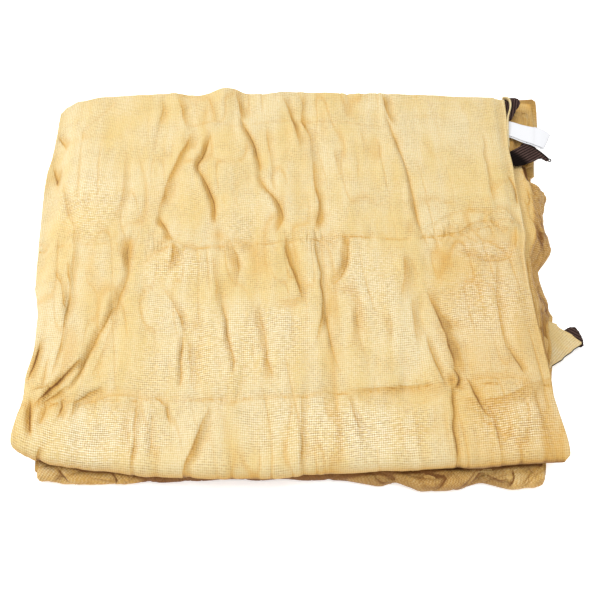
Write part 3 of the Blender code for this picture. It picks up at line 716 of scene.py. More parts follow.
# The knit: its rows run from side to side, its columns from front to back
ROW_PITCH = 2.25
COLUMN_PITCH = 1.9
Noise = namedtuple("Noise", "scale detail stretch", defaults=(2.0, None))
ROW_SWAY = (Noise(45.0), 0.0014)  # they sway by shares of these lengths, in metres
ROW_DRIFT = (Noise(9.0, 1.0), 0.011)
COLUMN_SWAY = (Noise(38.0), 0.0030)
LINE_SWAY = (Noise(260.0), 1.2)   # and the dark lines by this, in millimetres
LINE_SIDES = (0.7, 1.3)     # how wide a dark line is on its left and on its right
DASHES = (Noise(1.0, 1.0, (210.0, 520.0, 1.0)), 0.30, 0.62)  # where strands get painted glints
BREAKS = (Noise(1.0, 1.0, (260.0, 520.0, 1.0)), 0.30, 0.60)  # where there are gaps
PATCHES = (Noise(1.0, 2.0, (34.0, 42.0, 1.0)), 0.40, 0.62)   # and where they show more
GRAIN = Noise(1.0, 1.0, (430.0, 560.0, 1.0))
TONE = (Noise(14.0, 3.0), 0.6)    # two noises mix the two tones of the strands
STREAK = (Noise(1.0, 2.0, (70.0, 9.0, 1.0)), 0.4)
TONE_ENDS = (0.32, 0.68)

# Colours of the knit, of its painted shade and of its painted glints, with how much of each shows
STRANDS = ((0.535, 0.410, 0.178), (0.553, 0.472, 0.285))
MESH_COLOUR = (0.40, 0.26, 0.08)
MESH_COLUMNS = 0.55         # between the columns and between the rows
MESH_ROWS = 0.3
MESH_SHARE = 1.25
GAP_COLOUR = (0.23, 0.14, 0.055)
GAP_SHARES = (0.45, 0.6, 0.1)   # with the patches, with the shine, and everywhere
GAP_COLUMNS = (0.8, 0.3)    # more between the columns, and everywhere
PAINTED_SHADE_COLOURS = ((0.89, 0.68, 0.36), (0.36, 0.24, 0.13))  # painted shade multiplies by these, the second where it is deepest
# Painted glints on the rows of strand
GLINT_COLOUR = (0.80, 0.75, 0.60)
GLINT_LEAST = 0.04
GLINT_COLUMNS = (0.65, 0.25)
GLINT_IN_SHADE = 0.5          # less of it under the painted shade
ROW_POWER = 1.6             # how narrow gaps and glints are from front to back
KNIT_RELIEF = (0.7, 0.2, 0.9, -1.5)  # of rows, columns, grain and dark lines
KNIT_BUMP = (0.5, 0.0004)
KNIT_SURFACE = {
    "Roughness": 0.75, "Specular IOR Level": 0.3,
    "Sheen Weight": 0.05, "Sheen Roughness": 0.4,
    "Subsurface Weight": 0.1, "Subsurface Radius": (1.0, 0.6, 0.3), "Subsurface Scale": 0.003,
}

# Webbing, with a painted highlight on its ribs, and white tape: both have two tones of weave
Weave = namedtuple("Weave", "name noise tones bump surface")
DARK_WEBBING = Weave(
    "dark_webbing", Noise(900.0), ((0.003, 0.0012, 0.0008), (0.110, 0.065, 0.055)),
    (0.4, 0.0003), {"Roughness": 0.8, "Specular IOR Level": 0.06})
WHITE_TAPE = Weave(
    "white_tape", Noise(1500.0), ((0.53, 0.535, 0.555), (0.585, 0.59, 0.605)),
    None, {"Roughness": 0.45, "Sheen Weight": 0.2})

# Patches of painted glints, where the strands lie flat and shine, above an uneven level
SHINE_LEVEL = 0.08
SHINE_CHANGE = 0.16
SHINE_CELLS = Cells(24.0, 30.0, 21)
SHINE_SHARE = 0.75
Shine = namedtuple("Shine", "x y wide deep strength")
SHINES = [Shine(*row) for row in (
    (-215, 75, 34, 45, 0.8),
    (-130, -5, 34, 24, 0.8),
    (-60, 60, 26, 26, 0.5),
    (-100, -100, 60, 60, 0.6),
    (178, 15, 34, 14, 1.0),
    (175, -45, 42, 44, 1.0),
    (60, -30, 30, 50, 0.6),
    (-180, -190, 60, 28, 1.0),
    (20, -185, 70, 30, 0.8),
    (185, -178, 40, 30, 1.0),
    (-30, -90, 40, 40, 0.6),
    (60, -180, 60, 30, 0.5),
)]

# Camera, as the photograph was taken
ELEVATION = math.radians(55.0)
FOCAL_PIXELS = 1095.0
IMAGE_PIXELS = 612
SENSOR = 36.0
DISTANCE = 1.030
TARGET = Vector((0.0, -0.0565, 0.045))

# Pale floor, lit from below so that it shows no shadow, white surroundings and soft
# square lights, mostly from the left
FLOOR_SIZE = 12.0
PALE_FLOOR = {
    "Base Color": (0.93, 0.93, 0.93, 1.0), "Roughness": 0.9,
    "Emission Color": (1.0, 1.0, 1.0, 1.0), "Emission Strength": 0.4,
}
WORLD_GLOW = 0.86
Light = namedtuple("Light", "name place size power")
LIGHTS = [Light(*row) for row in (
    ("key_light", (-1.4, 0.5, 1.3), 0.8, 24.0),
    ("top_light", (0.1, -0.2, 2.0), 1.6, 24.0),
    ("front_light", (0.0, -2.0, 1.5), 1.4, 7.0),
)]
LIGHT_AIM = Vector((0.0, 0.0, 0.02))


def smooth(value):
    """Ease from 0 to 1."""
    value = np.clip(value, 0.0, 1.0)
    return value * value * (3.0 - 2.0 * value)


def faded(value, fade):
    """Ease from 0 to 1 over a fade's width."""
    return smooth((value - fade.start) / fade.width)


def mix(first, second, share):
    """A value between two others."""
    return first + (second - first) * share


def along(table, at, column):
    """Read one column of a table at places between its rows, with eased steps."""
    rows = sorted(table)
    keys = np.array([row[0] for row in rows], float)
    values = np.array([getattr(row, column) for row in rows], float)
    at = np.clip(at, keys[0], keys[-1])
    step = np.clip(np.searchsorted(keys, at, side="right") - 1, 0, len(keys) - 2)
    share = (at - keys[step]) / (keys[step + 1] - keys[step])
    return mix(values[step], values[step + 1], (share + smooth(share)) / 2)


def layer_heights():
    """Heights of the layers' middles above the ground, from the lowest to the top."""
    heights = [SHEET / 2]
    for layer in range(1, TOP + 1):
        pitch = LOW_PITCH if layer <= BUNDLE else PITCH
        heights.append(heights[-1] + (TOP_PITCH if layer == TOP else pitch))
    return heights


HEIGHTS = layer_heights()


def rough(x, y, cells, turn=0):
    """Smooth random relief between -1 and 1, with cells of a given size."""
    size = ROUGH_SIZE
    grid = np.random.default_rng(cells.seed + turn).uniform(-1.0, 1.0, (size, size))
    gx, gy = x / cells.wide + ROUGH_START, y / cells.long + ROUGH_START
    ix, iy = np.floor(gx).astype(int), np.floor(gy).astype(int)
    fx, fy = smooth(gx - ix), smooth(gy - iy)
    corners = [grid[(ix + a) % size, (iy + b) % size] for a in (0, 1) for b in (0, 1)]
    return mix(mix(corners[0], corners[1], fy), mix(corners[2], corners[3], fy), fx)


def wander(y, level, turn):
    """How far a layer's edge strays from the outline."""
    return WANDER * np.sin(turn * level + y / WANDER_LENGTH)


def left_edge(y, level):
    """Left outline. Only the top layer reaches over the side of the stack."""
    inner = smooth(level - BUNDLE)
    ends = DRAWN_TOGETHER * faded(y, DRAWN_BACK) + faded(y, DRAWN_FRONT)
    low = along(EDGES, y, "low_left") + wander(y, level, LEFT_TURN) + INNER_INSET * inner
    share = np.maximum(smooth(level - (TOP - 1)), ends * inner)
    return mix(low, along(EDGES, y, "top_left"), share)


def side_reach(y, z):
    """How far the layers may reach to the right under the fold over their edges."""
    z = z + SIDE_TUCK[0]
    found = {name: along(SIDE_FOLD, y, name) for name in Fold._fields[1:]}
    stops = [(found[part + "_x"], found[part + "_z"]) for part in ("foot", "wall", "ridge")]
    stops.append((along(EDGES, y, "top_right") - SIDE_INSET, found["inner_z"]))
    reach = stops[0][0]
    for (near, low), (far, high) in zip(stops, stops[1:]):
        rise = np.clip((z - low) / np.maximum(high - low, SIDE_LEAST), 0.0, 1.0)
        reach = reach + (far - near) * rise
    ends = smooth((y - SIDE_FOLD[0].y) / SIDE_BLEND) + smooth((SIDE_FOLD[-1].y - y) / SIDE_BLEND)
    return reach - SIDE_TUCK[1] + FREE_REACH * (ends + (z < found["foot_z"]))


def right_edge(y, level):
    """Right outline. The lower a layer lies, the further it reaches."""
    share = smooth((level - CORNER_LAYER) / (TOP - CORNER_LAYER))
    edge = mix(along(EDGES, y, "low_right"), along(EDGES, y, "top_right"), share)
    edge = edge + wander(y, level, RIGHT_TURN) * smooth(TOP - level)
    inside = np.minimum(edge, side_reach(y, np.interp(level, range(TOP + 1), HEIGHTS)))
    return mix(edge, inside, smooth((TOP - level) * HELD_BELOW))


def rounded(path, steps=CREASE_STEPS):
    """A smooth curve through some points."""
    points = [np.array(point, float) for point in path]
    points = [2 * points[0] - points[1], *points, 2 * points[-1] - points[-2]]
    curve = []
    for a, b, c, d in zip(points, points[1:], points[2:], points[3:]):
        for t in np.arange(steps) / steps:
            bend = 2 * b + (c - a) * t + (2 * a - 5 * b + 4 * c - d) * t * t
            curve.append((bend + (3 * b - a - 3 * c + d) * t ** 3) / 2)
    return curve + [points[-2]]


def path_distance(x, y, curve):
    """Distance to a curve, positive on its +X side, and the share of the way along."""
    lengths = [np.hypot(*(b - a)) for a, b in zip(curve, curve[1:])]
    total, done = sum(lengths), 0.0
    best = np.full(x.shape, FAR)
    signed, share = np.zeros(x.shape), np.zeros(x.shape)
    for (x0, y0), (x1, y1), length in zip(curve, curve[1:], lengths):
        dx, dy = (x1 - x0) / length, (y1 - y0) / length
        t = np.clip((x - x0) * dx + (y - y0) * dy, 0.0, length)
        ex, ey = x - x0 - t * dx, y - y0 - t * dy
        distance = np.hypot(ex, ey)
        nearer = distance < best
        best = np.where(nearer, distance, best)
        side = np.where(ey * dx - ex * dy > 0, 1.0, -1.0)
        signed = np.where(nearer, side * distance, signed)
        share = np.where(nearer, (done + t) / total, share)
        done += length
    return signed, share


def crease_parts(x, y, crease):
    """A slope that faces right across the crease's band, a quick rise, its painted shade,
    and the distance and strength of its painted dark line."""
    curve = rounded(crease.path)
    reach = CREASE_REACH + REACH_WIDTHS * max(crease.left, crease.right)
    xs, ys = [point[0] for point in curve], [point[1] for point in curve]
    near = (x > min(xs) - reach) & (x < max(xs) + reach)
    near &= (y > min(ys) - reach) & (y < max(ys) + reach)
    distance, share = path_distance(x[near], y[near], curve)
    distance = distance + CREASE_WOBBLE * rough(x[near], y[near], WOBBLE_CELLS)
    uneven = BAND_WIDTH * (1.0 + UNEVEN * rough(x[near], y[near], WIDTH_CELLS))
    narrow = (NARROW, 1.0) if crease.right > crease.left else (1.0, NARROW)
    left, right = narrow[0] * crease.left * uneven, narrow[1] * crease.right * uneven
    broad = float(smooth((crease.left + crease.right - NARROW_BAND) / BROADER))
    slope = -smooth((distance + left) / (left + right))
    rise = RISE_START + RISE_SHARE * right
    slope = slope * np.exp(-((np.maximum(distance - right, 0.0) / rise) ** RISE_ROUND))
    ridge = RIDGE * np.exp(-(((distance + left + RIDGE_BEFORE) / RIDGE_WIDTH) ** 2))
    ridge = ridge - LINE_DEPTH * (1.0 - broad) * np.exp(-((distance / LINE_WIDTH) ** 2))
    lean = np.where(distance < 0, LEAN_UP * smooth(-distance / LEAN_START), -LEAN_DOWN)
    lean = lean * np.exp(-((distance / LEAN_WIDTH) ** 2))
    fade = END_DEPTH + (1.0 - END_DEPTH) * np.sin(math.pi * share) ** 0.5
    patchy = 1.0 + UNEVEN * rough(x[near], y[near], DEPTH_CELLS)
    band = smooth((distance + left + BAND_SOFT) / (BAND_SOFT * left + 1.0))
    band = band * smooth((right - distance + BAND_SOFT) / (BAND_SOFT * right + 1.0))
    along_x = abs(xs[-1] - xs[0]) > abs(ys[-1] - ys[0])
    strength = (crease.depth / CREASE_SHADE_DEPTH) ** CREASE_SHADE_POWER * (LEVEL_SHADE if along_x else 1.0)
    drawn = smooth((LINE_REACH - np.abs(distance)) / LINE_FADE)
    relief, shade_tint, dark = (np.zeros(x.shape) for _ in range(3))
    away = np.full(x.shape, LINE_REACH)
    relief[near] = DEPTH_SHARE * crease.depth * patchy * fade * (slope + ridge + lean)
    # Painted shade on the slope's band, and the strength of the painted dark line
    shade_tint[near] = mix(*BAND_SHADE, broad) * band * fade * patchy * strength
    dark[near] = mix(*LINE_SHADE, broad) * fade * patchy * strength * drawn
    away[near] = np.clip(distance, -LINE_REACH, LINE_REACH)
    return relief, shade_tint, away, dark


def creased(x, y, creases):
    """Relief of some creases together, the painted shade in them, and the distance and
    strength of the nearest painted dark line."""
    relief, shade_tint = np.zeros(x.shape), np.zeros(x.shape)
    away, dark = np.full(x.shape, LINE_REACH), np.zeros(x.shape)
    for crease in creases:
        valley, band, distance, strength = crease_parts(x, y, crease)
        relief, shade_tint = relief + valley, np.maximum(shade_tint, band)
        away = np.where(strength > dark, distance, away)
        dark = np.maximum(dark, strength)
    return relief, shade_tint, away, dark


def mound_relief(x, y, mound):
    """A soft ridge or hollow."""
    turn = math.radians(mound.turn)
    dx, dy = x - mound.x, y - mound.y
    across = dx * math.cos(turn) + dy * math.sin(turn)
    down = dy * math.cos(turn) - dx * math.sin(turn)
    return mound.height * np.exp(-((across / mound.wide) ** 2) - (down / mound.deep) ** 2)


def swell(x, y):
    """The cloth rises a little between its creases and sinks towards the front."""
    panel = MIDDLE_CREASE - FRONT_CREASE
    rise = PANEL_HEIGHT * np.abs(np.sin(math.pi * (y - MIDDLE_CREASE) / panel))
    fall = -FRONT_FALL * smooth((FRONT_CREASE - y) / FRONT_BAND)
    slow = np.sin(x / SLOW_LENGTHS[0] + SLOW_START) * np.cos(y / SLOW_LENGTHS[1])
    return np.where(y < FRONT_CREASE, fall, rise) + SLOW_SWELL * slow


def gathers(x, y, cells, turn=0, slant=GATHER_SLANT, width=GATHER_WIDTH):
    """Short sharp creases where a random relief is level, between 0 and 1."""
    level = rough(x + slant * y, y, cells, turn) / width
    return np.exp(-level * level)


def puckers(x, y):
    """Small gathers on both sides of the creases from side to side, and their painted shade."""
    relief, shade_tint = 0.0, 0.0
    for line, near, height, seed in PUCKERS:
        away = y - np.interp(x, *zip(*line))
        beside = np.exp(-(np.abs(away) / near) ** PUCKER_FALL)
        creases = gathers(x, y, LONG_GATHERS, seed)
        creases = creases + SHORT_SHARE * gathers(x, y, SHORT_GATHERS, seed)
        creases = creases * beside * smooth(GATHERS_SHOWN + rough(x, y, GATHER_PATCHES, seed))
        fold = np.exp(-((away / FOLD_WIDTH) ** 2))
        fold = fold * smooth(FOLD_SHOWN + rough(x, y, FOLD_PATCHES, seed))
        swelling = GATHER_SWELL * rough(x, y, SWELL_CELLS, seed) * beside
        relief = relief + height * (swelling - GATHER_DEPTH * creases - fold)
        spots = gathers(x, y, SPOTS, seed) * fold
        specks = gathers(x, y, SPECKS, seed) * beside
        specks = specks * smooth(rough(x, y, SPECK_PATCHES, seed) * SPECK_EDGE)
        # Painted shade of the gathers, the fold, its spots and the specks
        colour = GATHER_SHADE * creases + FOLD_SHADE * fold
        shade_tint = np.maximum(shade_tint, colour + SPOT_SHADE * spots + SPECK_SHADE * specks)
    return relief, shade_tint


def fine_lines(x, y):
    """Faint creases, mostly from front to back, and the painted shade in them."""
    relief, shade_tint = 0.0, 0.0
    for cells, depth in FINE_LINES:
        shown = smooth(FINE_SHOWN + FINE_CHANGE * rough(x, y, FINE_PATCHES, cells.seed))
        line = shown * gathers(x, y, cells, slant=FINE_SLANT, width=FINE_WIDTH)
        relief, shade_tint = relief - depth * line, np.maximum(shade_tint, FINE_SHADE * line)
    return relief, shade_tint


def crumple(x, y):
    """Unplanned wrinkles that run mostly from front to back."""
    height = sum(share * rough(x, y, cells) for share, cells in CRUMPLES)
    calm = 1.0
    for spot in CALM_PLACES:
        calm = calm * (1.0 - spot.share * faded(y, spot.back) * faded(x, spot.across))
    lines, shade_tint = fine_lines(x, y)
    return (height + lines) * calm, shade_tint * calm


def ramp(distance, part):
    """Height of one part of the hem, at some distances from its line or edge."""
    return part.height * smooth((distance + part.inset) / part.width)


def hem_relief(x, y):
    """The hem along the right edge: a second ply beside a groove, and a raised rim."""
    inside = x - np.interp(y, [stop.y for stop in HEM_LINE], [stop.x for stop in HEM_LINE])
    edge = x - right_edge(y, TOP)
    shown = faded(y, HEM_START) * (HEM_STRENGTH + HEM_CHANGE * rough(x, y, HEM_CELLS))
    groove = HEM_GROOVE.height * np.exp(-((inside / HEM_GROOVE.width) ** 2))
    return shown * (groove + ramp(inside, HEM_STEP) + ramp(edge, HEM_RIM) + ramp(edge, EDGE_DROP))


def folds(x, y):
    """All the relief of the outermost layer, the painted shade in its creases, and the
    distance and strength of their painted dark lines."""
    height, shade_tint, away, dark = creased(x, y, CREASES)
    height = height + sum(mound_relief(x, y, mound) for mound in MOUNDS)
    pockets = sum(mound_relief(x, y, pocket) for pocket in POCKETS)
    # Pockets deepen the relief and darken it with painted shade
    height, shade_tint = height + POCKET_DEPTH * pockets, shade_tint - POCKET_SHADE * pockets
    height = height + hem_relief(x, y)
    for relief, colour in (puckers(x, y), crumple(x, y)):
        height, shade_tint = height + relief, np.maximum(shade_tint, colour)
    height = np.where(height > 0, height, -SINK * np.tanh(-height / SINK))
    return height, shade_tint, away, dark


def low_relief(x, y):
    """Waves in the lower layers near the front."""
    height = 0.0
    for wave in WAVES:
        distance = np.hypot((x - wave.x) / wave.width, (y - wave.y) / WAVE_DEPTH)
        height = height + wave.height * np.exp(-distance * distance)
    return height


def side_droop(x, y):
    """The bundle sinks at its right edge, and hangs over its left side."""
    right, *left = [droop.depth * faded(x, droop.fade) for droop in DROOPS]
    held = faded(y, HANG_BACK) + faded(y, HANG_FRONT)
    return -right - sum(left) * (1.0 - DRAWN_TOGETHER * held)


def place(u, y, level):
    """Points of the unfolded cloth: u from left to right, y to the back, a level."""
    left, right = left_edge(y, level), right_edge(y, level)
    x = mix(left, right, u)
    upper = np.maximum(0.0, (level - BUNDLE) / (TOP - BUNDLE))
    lower = np.minimum(1.0, level / (BUNDLE - 1))
    height = np.interp(level, range(TOP + 1), HEIGHTS)
    z = height + (swell(x, y) + side_droop(x, y)) * upper + low_relief(x, y) * lower
    return np.stack([x, y, z], axis=-1)


def bend_radius(bend):
    """Radius of a bend's middle line."""
    return abs(HEIGHTS[bend.start_layer] - HEIGHTS[bend.end_layer]) / 2


def line_at(line, u):
    """A front or back line's distance from the middle, at shares of its width."""
    return along(line, line[0].x + (line[-1].x - line[0].x) * u, "y")


def bend_centre(u, bend):
    """Where the middle of a bend's circle lies from front to back."""
    upper = min(bend.start_layer, bend.end_layer) >= BUNDLE
    widest = bend_radius(bend)
    if bend.side == "back":
        inset = widest + SHEET / 2 - bend.reach
        return line_at(TOP_BACK if upper else LOW_BACK, u) - inset
    if upper:
        widest = (HEIGHTS[TOP] - HEIGHTS[BUNDLE]) / 2
    inset = widest + SHEET / 2 - bend.reach
    return line_at(TOP_FRONT if upper else LOW_FRONT, u) + inset


# One row across the cloth: its columns, its points before the folds, and how far
# the folds lift it and push it to the back
Row = namedtuple("Row", "u points lift push loose", defaults=(False,))


def bend_rows(bend):
    """Rows of points round one bend, without its two ends."""
    outward = -1.0 if bend.side == "front" else 1.0
    radius = bend_radius(bend)
    rising = 1.0 if bend.end_layer > bend.start_layer else -1.0
    middle = (HEIGHTS[bend.start_layer] + HEIGHTS[bend.end_layer]) / 2
    outermost = 1.0 if TOP in (bend.start_layer, bend.end_layer) else 0.0
    u = bend.columns
    rows = []
    for step in range(1, bend.steps):
        angle = rising * math.pi * (step / bend.steps - 0.5)
        level = float(np.interp(middle + math.sin(angle) * radius, HEIGHTS, range(TOP + 1)))
        y = bend_centre(u, bend) + outward * math.cos(angle) * radius
        lift = outermost * (1.0 + math.sin(angle)) / 2
        push = outermost * outward * math.cos(angle)
        rows.append(Row(u, place(u, y, level), lift, push))
    return rows


def run_stops(layer, y_start, y_end):
    """Places of the rows along a layer, closer together near the creases."""
    low, high = min(y_start, y_end), max(y_start, y_end)
    stops = [low]
    while stops[-1] < high - CREASE_STEP:
        step, at = HIDDEN_STEP, stops[-1]
        if layer == CORNER_LAYER and LOOSE_BAND[0] - HIDDEN_STEP < at < LOOSE_BAND[1]:
            step = LOOSE_STEP
        if layer == TOP:
            near_crease = any(first < at < last for first, last in CREASE_BANDS)
            step = CREASE_STEP if near_crease else TOP_STEP
        stops.append(stops[-1] + step)
    stops = (np.array(stops) - low) / (stops[-1] - low)
    return stops if y_end > y_start else 1.0 - stops[::-1]


def run_rows(layer, start, end, first_columns, last_columns):
    """Rows of points along one layer, from one bend's centre line to the next."""
    shares = run_stops(layer, float(start(0.5)), float(end(0.5)))
    rows = []
    for share in shares:
        right_y = float(mix(start(1.0), end(1.0), share))
        loose = layer == CORNER_LAYER and LOOSE_BAND[0] < right_y < LOOSE_BAND[1]
        u = FINE if layer == TOP else LOOSE if loose else HIDDEN
        if share in (0.0, 1.0):
            u = last_columns if share else first_columns
        y = mix(start(u), end(u), share)
        points = place(u, y, layer)
        if layer == CORNER_LAYER:
            pull = smooth((u - CORNER_START) / (1.0 - CORNER_START))
            reach = along(CORNER, y, "reach") * pull
            points[:, 0] += reach
            points[:, 2] -= CORNER_DROOP * reach / CORNER_REACH
        rows.append(Row(u, points, 1.0 if layer == TOP else 0.0, 0.0, loose))
    return rows


def cut_end(layer):
    """Where one of the cloth's two cut ends stops, at shares of its width."""
    line = TOP_BACK if layer >= BUNDLE else LOW_BACK
    return lambda u: line_at(line, u) + OPEN_END[layer]


def centre_of(bend):
    """A bend's centre line, at shares of the cloth's width."""
    return lambda u: bend_centre(u, bend)


def section_rows():
    """The whole cloth, row by row, from its end on the ground to its end inside."""
    rows = []
    start, columns = cut_end(BENDS[0].start_layer), BACK
    for bend in BENDS:
        end = centre_of(bend)
        rows += run_rows(bend.start_layer, start, end, columns, bend.columns)
        rows += bend_rows(bend)
        start, columns = end, bend.columns
    last = BENDS[-1].end_layer
    return rows + run_rows(last, start, cut_end(last), columns, BACK)


def strip_faces(first, second, first_at, second_at):
    """Faces between two lines of points, matched by their places along the lines."""
    faces = []
    a = b = 0
    while a < len(first) - 1 or b < len(second) - 1:
        next_a = first_at[a + 1] if a < len(first) - 1 else FAR
        next_b = second_at[b + 1] if b < len(second) - 1 else FAR
        if abs(next_a - next_b) < SAME:
            faces.append((first[a], second[b], second[b + 1], first[a + 1]))
            a, b = a + 1, b + 1
        elif next_a < next_b:
            faces.append((first[a], second[b], first[a + 1]))
            a += 1
        else:
            faces.append((first[a], second[b], second[b + 1]))
            b += 1
    return faces


def layout_shift():
    """From the layout's frame to the solids', read from the corner patch's box."""
    low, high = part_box("corner_patch")
    return Vector((high[0] - PATCH_TIP.x * MM, low[1] - PATCH_TIP.y * MM, 0.0))


SHIFT = layout_shift()


def lowest_near(relief, rows, columns):
    """The lowest relief within some rows and columns of each point."""
    lowest = relief.copy()
    for axis, reach in ((0, rows), (1, columns)):
        source = lowest.copy()
        for shift in range(1, reach + 1):
            for way in (-shift, shift):
                moved = np.roll(source, way, axis=axis)
                edge = [slice(None), slice(None)]
                edge[axis] = slice(0, way) if way > 0 else slice(way, None)
                moved[tuple(edge)] = source[tuple(edge)]
                lowest = np.minimum(lowest, moved)
    return lowest


def box_blur(relief, rows, columns):
    """Mean of the relief over some rows and columns to each side."""
    padded = np.pad(relief, ((rows, rows), (columns, columns)), mode="edge")
    total = np.zeros(relief.shape)
    for a in range(2 * rows + 1):
        total += padded[a:a + relief.shape[0], columns:columns + relief.shape[1]]
    total /= 2 * rows + 1
    padded = np.pad(total, ((0, 0), (columns, columns)), mode="edge")
    spread = np.zeros(relief.shape)
    for b in range(2 * columns + 1):
        spread += padded[:, b:b + relief.shape[1]]
    return spread / (2 * columns + 1)


def raised(rows, reliefs):
    """Points of the rows once their relief is added."""
    lines = []
    for row, relief in zip(rows, reliefs):
        points = row.points.copy()
        points[:, 1] += row.push * relief
        points[:, 2] += row.lift * relief
        lines.append(points)
    return lines


def shade_below(row):
    """How much painted shade a row of an inner layer gets, with streaks across it."""
    if row.loose:
        return np.full(len(row.u), PAINTED_SHADE_LOOSE)
    streaks = rough(row.points[:, 0], row.points[:, 1], BELOW_CELLS)
    return PAINTED_SHADE_BELOW + BELOW_STREAKS * streaks


def row_reliefs(rows):
    """Relief of each row, the lowest relief near it, the painted shade there, and the
    distance and strength of the painted dark lines."""
    fine = [index for index, row in enumerate(rows) if row.lift or row.push]
    grid = np.array([rows[index].points for index in fine])
    relief, shade_tint, away, dark = folds(grid[..., 0], grid[..., 1])
    lowest = lowest_near(relief, INNER_ROWS, INNER_COLUMNS)
    # Painted shade: in hollows, on steep slopes and in the creases, where the front turns under,
    # and on the right
    steep = box_blur(np.abs(np.gradient(relief, axis=1)), 1, 1) / PAINTED_SHADE_STEEP
    hollow = (box_blur(relief, *PAINTED_SHADE_NEAR) - relief) / PAINTED_SHADE_DEPTH
    hollow = PAINTED_SHADE_SHARE * np.clip(np.maximum(hollow, steep - PAINTED_SHADE_LEVEL), 0.0, 1.0)
    hollow = np.minimum(np.maximum(hollow, shade_tint), 1.0)
    turning = np.array([[rows[index].lift if rows[index].push < 0 else 1.0] for index in fine])
    right = faded(grid[..., 0], RIGHT_SIDE)
    hollow = hollow + PAINTED_SHADE_UNDER * (1.0 + UNDER_RIGHT * right) * faded(turning, UNDER)
    hollow = hollow + PAINTED_SHADE_RIGHT * right * faded(grid[..., 1], RIGHT_FRONT)
    hollow = np.clip(hollow, 0.0, PAINTED_SHADE_MOST)
    plain = [np.zeros(len(row.u)) for row in rows]
    below = [shade_below(row) for row in rows]
    found = [list(plain), list(plain), below, list(plain), list(plain)]
    for position, index in enumerate(fine):
        for values, source in zip(found, (relief, lowest, hollow, away, dark)):
            values[index] = source[position]
    return found


def side_points(rows, lines, normals, offset, thinned):
    """Rows of points on one side of the sheet: (place, columns, points, kept)."""
    side = []
    for index, (row, line, normal) in enumerate(zip(rows, lines, normals)):
        wide = len(row.u) >= len(BACK)
        keep = np.arange(len(row.u))
        if thinned and wide:
            if index % INNER_ROWS and 0 < index < len(rows) - 1:
                continue
            keep = np.arange(0, len(row.u), INNER_COLUMNS)
        side.append((index, row.u[keep], (line + normal * offset)[keep], keep))
    return side


def line_normals(rows, lines):
    """Normals of the middle surface, row by row."""
    counts = np.cumsum([0] + [len(line) for line in lines])
    numbers = [range(first, last) for first, last in zip(counts, counts[1:])]
    faces = []
    for low, high, first, second in zip(numbers, numbers[1:], rows, rows[1:]):
        faces += strip_faces(low, high, first.u, second.u)
    data = bpy.data.meshes.new("middle")
    data.from_pydata(np.concatenate(lines).tolist(), [], faces)
    normals = np.zeros(len(data.vertices) * 3)
    data.vertex_normals.foreach_get("vector", normals)
    bpy.data.meshes.remove(data)
    return np.split(normals.reshape(-1, 3), counts[1:-1])


def knit_places(row, keep, length):
    """Where a row's points lie along the knit, from side to side and down its length."""
    places = row.points[keep] * MM
    across, down = places[:, 0], np.full(len(keep), length * MM)
    if row.loose:
        turned = places[:, 0] > CORNER_KNIT * MM
        across = np.where(turned, places[:, 0] + places[:, 1], across)
        down = np.where(turned, (places[:, 1] - places[:, 0]) * CORNER_CLOSER, down)
    return list(zip(across, down))


def facing(faces, turned):
    """Faces as they are, or turned over."""
    return [face[::-1] for face in faces] if turned else faces


def closed_faces(sides, numbers):
    """Faces of both sides of the sheet and of the four edges that join them."""
    faces = []
    for side, lists, turned in zip(sides, numbers, (True, False)):
        for low, high, first, second in zip(lists, lists[1:], side, side[1:]):
            faces += facing(strip_faces(low, high, first[1], second[1]), turned)
    places = [[entry[0] for entry in side] for side in sides]
    for column, turned in ((0, True), (-1, False)):
        edges = [[line[column] for line in lists] for lists in numbers]
        faces += facing(strip_faces(*edges, *places), turned)
    for row, turned in ((0, False), (-1, True)):
        ends = [lists[row] for lists in numbers]
        places = [side[row][1] for side in sides]
        faces += facing(strip_faces(*ends, *places), turned)
    return faces


def make_cloth_mesh(rows):
    """The folded cloth as one closed thin sheet, finer on the side that shows."""
    reliefs, lowest, *shades = row_reliefs(rows)
    lines = raised(rows, reliefs)
    normals = line_normals(rows, lines)
    lengths = [0.0]
    for first, second in zip(lines, lines[1:]):
        middle = second[len(second) // 2] - first[len(first) // 2]
        lengths.append(lengths[-1] + float(np.linalg.norm(middle)))
    sides = (side_points(rows, lines, normals, -CLOTH / 2, False),
             side_points(rows, raised(rows, lowest), normals, CLOTH / 2, True))
    points, coordinates, numbers, count = [], [], [], 0
    shown = [[] for _ in shades]
    for side in sides:
        numbers.append([])
        for index, _, line, keep in side:
            numbers[-1].append(list(range(count, count + len(line))))
            count += len(line)
            points.append(line)
            coordinates += knit_places(rows[index], keep, lengths[index])
            for values, source in zip(shown, shades):
                values.append(source[index][keep])
    faces = closed_faces(sides, numbers)
    shown = [np.concatenate(values) for values in shown]
    return np.concatenate(points), faces, np.array(coordinates), shown


def mesh_object(name, points, faces, coordinates):
    """A shaded mesh object with its knit's own coordinates."""
    data = bpy.data.meshes.new(name)
    data.from_pydata((points * MM + np.array(SHIFT)).tolist(), [], faces)
    corners = np.zeros(len(data.loops), int)
    data.loops.foreach_get("vertex_index", corners)
    data.uv_layers.new(name="knit").data.foreach_set("uv", coordinates[corners].ravel())
    data.shade_smooth()
    piece = bpy.data.objects.new(name, data)
    bpy.context.collection.objects.link(piece)
    return piece


def add_values(piece, name, values):
    """Store one number for each point of a mesh."""
    store = piece.data.attributes.new(name, "FLOAT", "POINT")
    store.data.foreach_set("value", values.astype(np.float32))


def add_grid_values(piece, **fields):
    """Store numbers given for each point of a sheet's grid, on both of its sides."""
    for name, values in fields.items():
        add_values(piece, name, np.tile(values.ravel(), 2))


def shine_at(x, y):
    """How much painted glint the strands get, where they lie flat."""
    value = SHINE_LEVEL + SHINE_CHANGE * rough(x, y, SHINE_CELLS)
    for shine in SHINES:
        away = ((x - shine.x) / shine.wide) ** 2 + ((y - shine.y) / shine.deep) ** 2
        value = value + SHINE_SHARE * shine.strength * np.exp(-away ** 2)
    return np.clip(value, 0.0, 1.0)


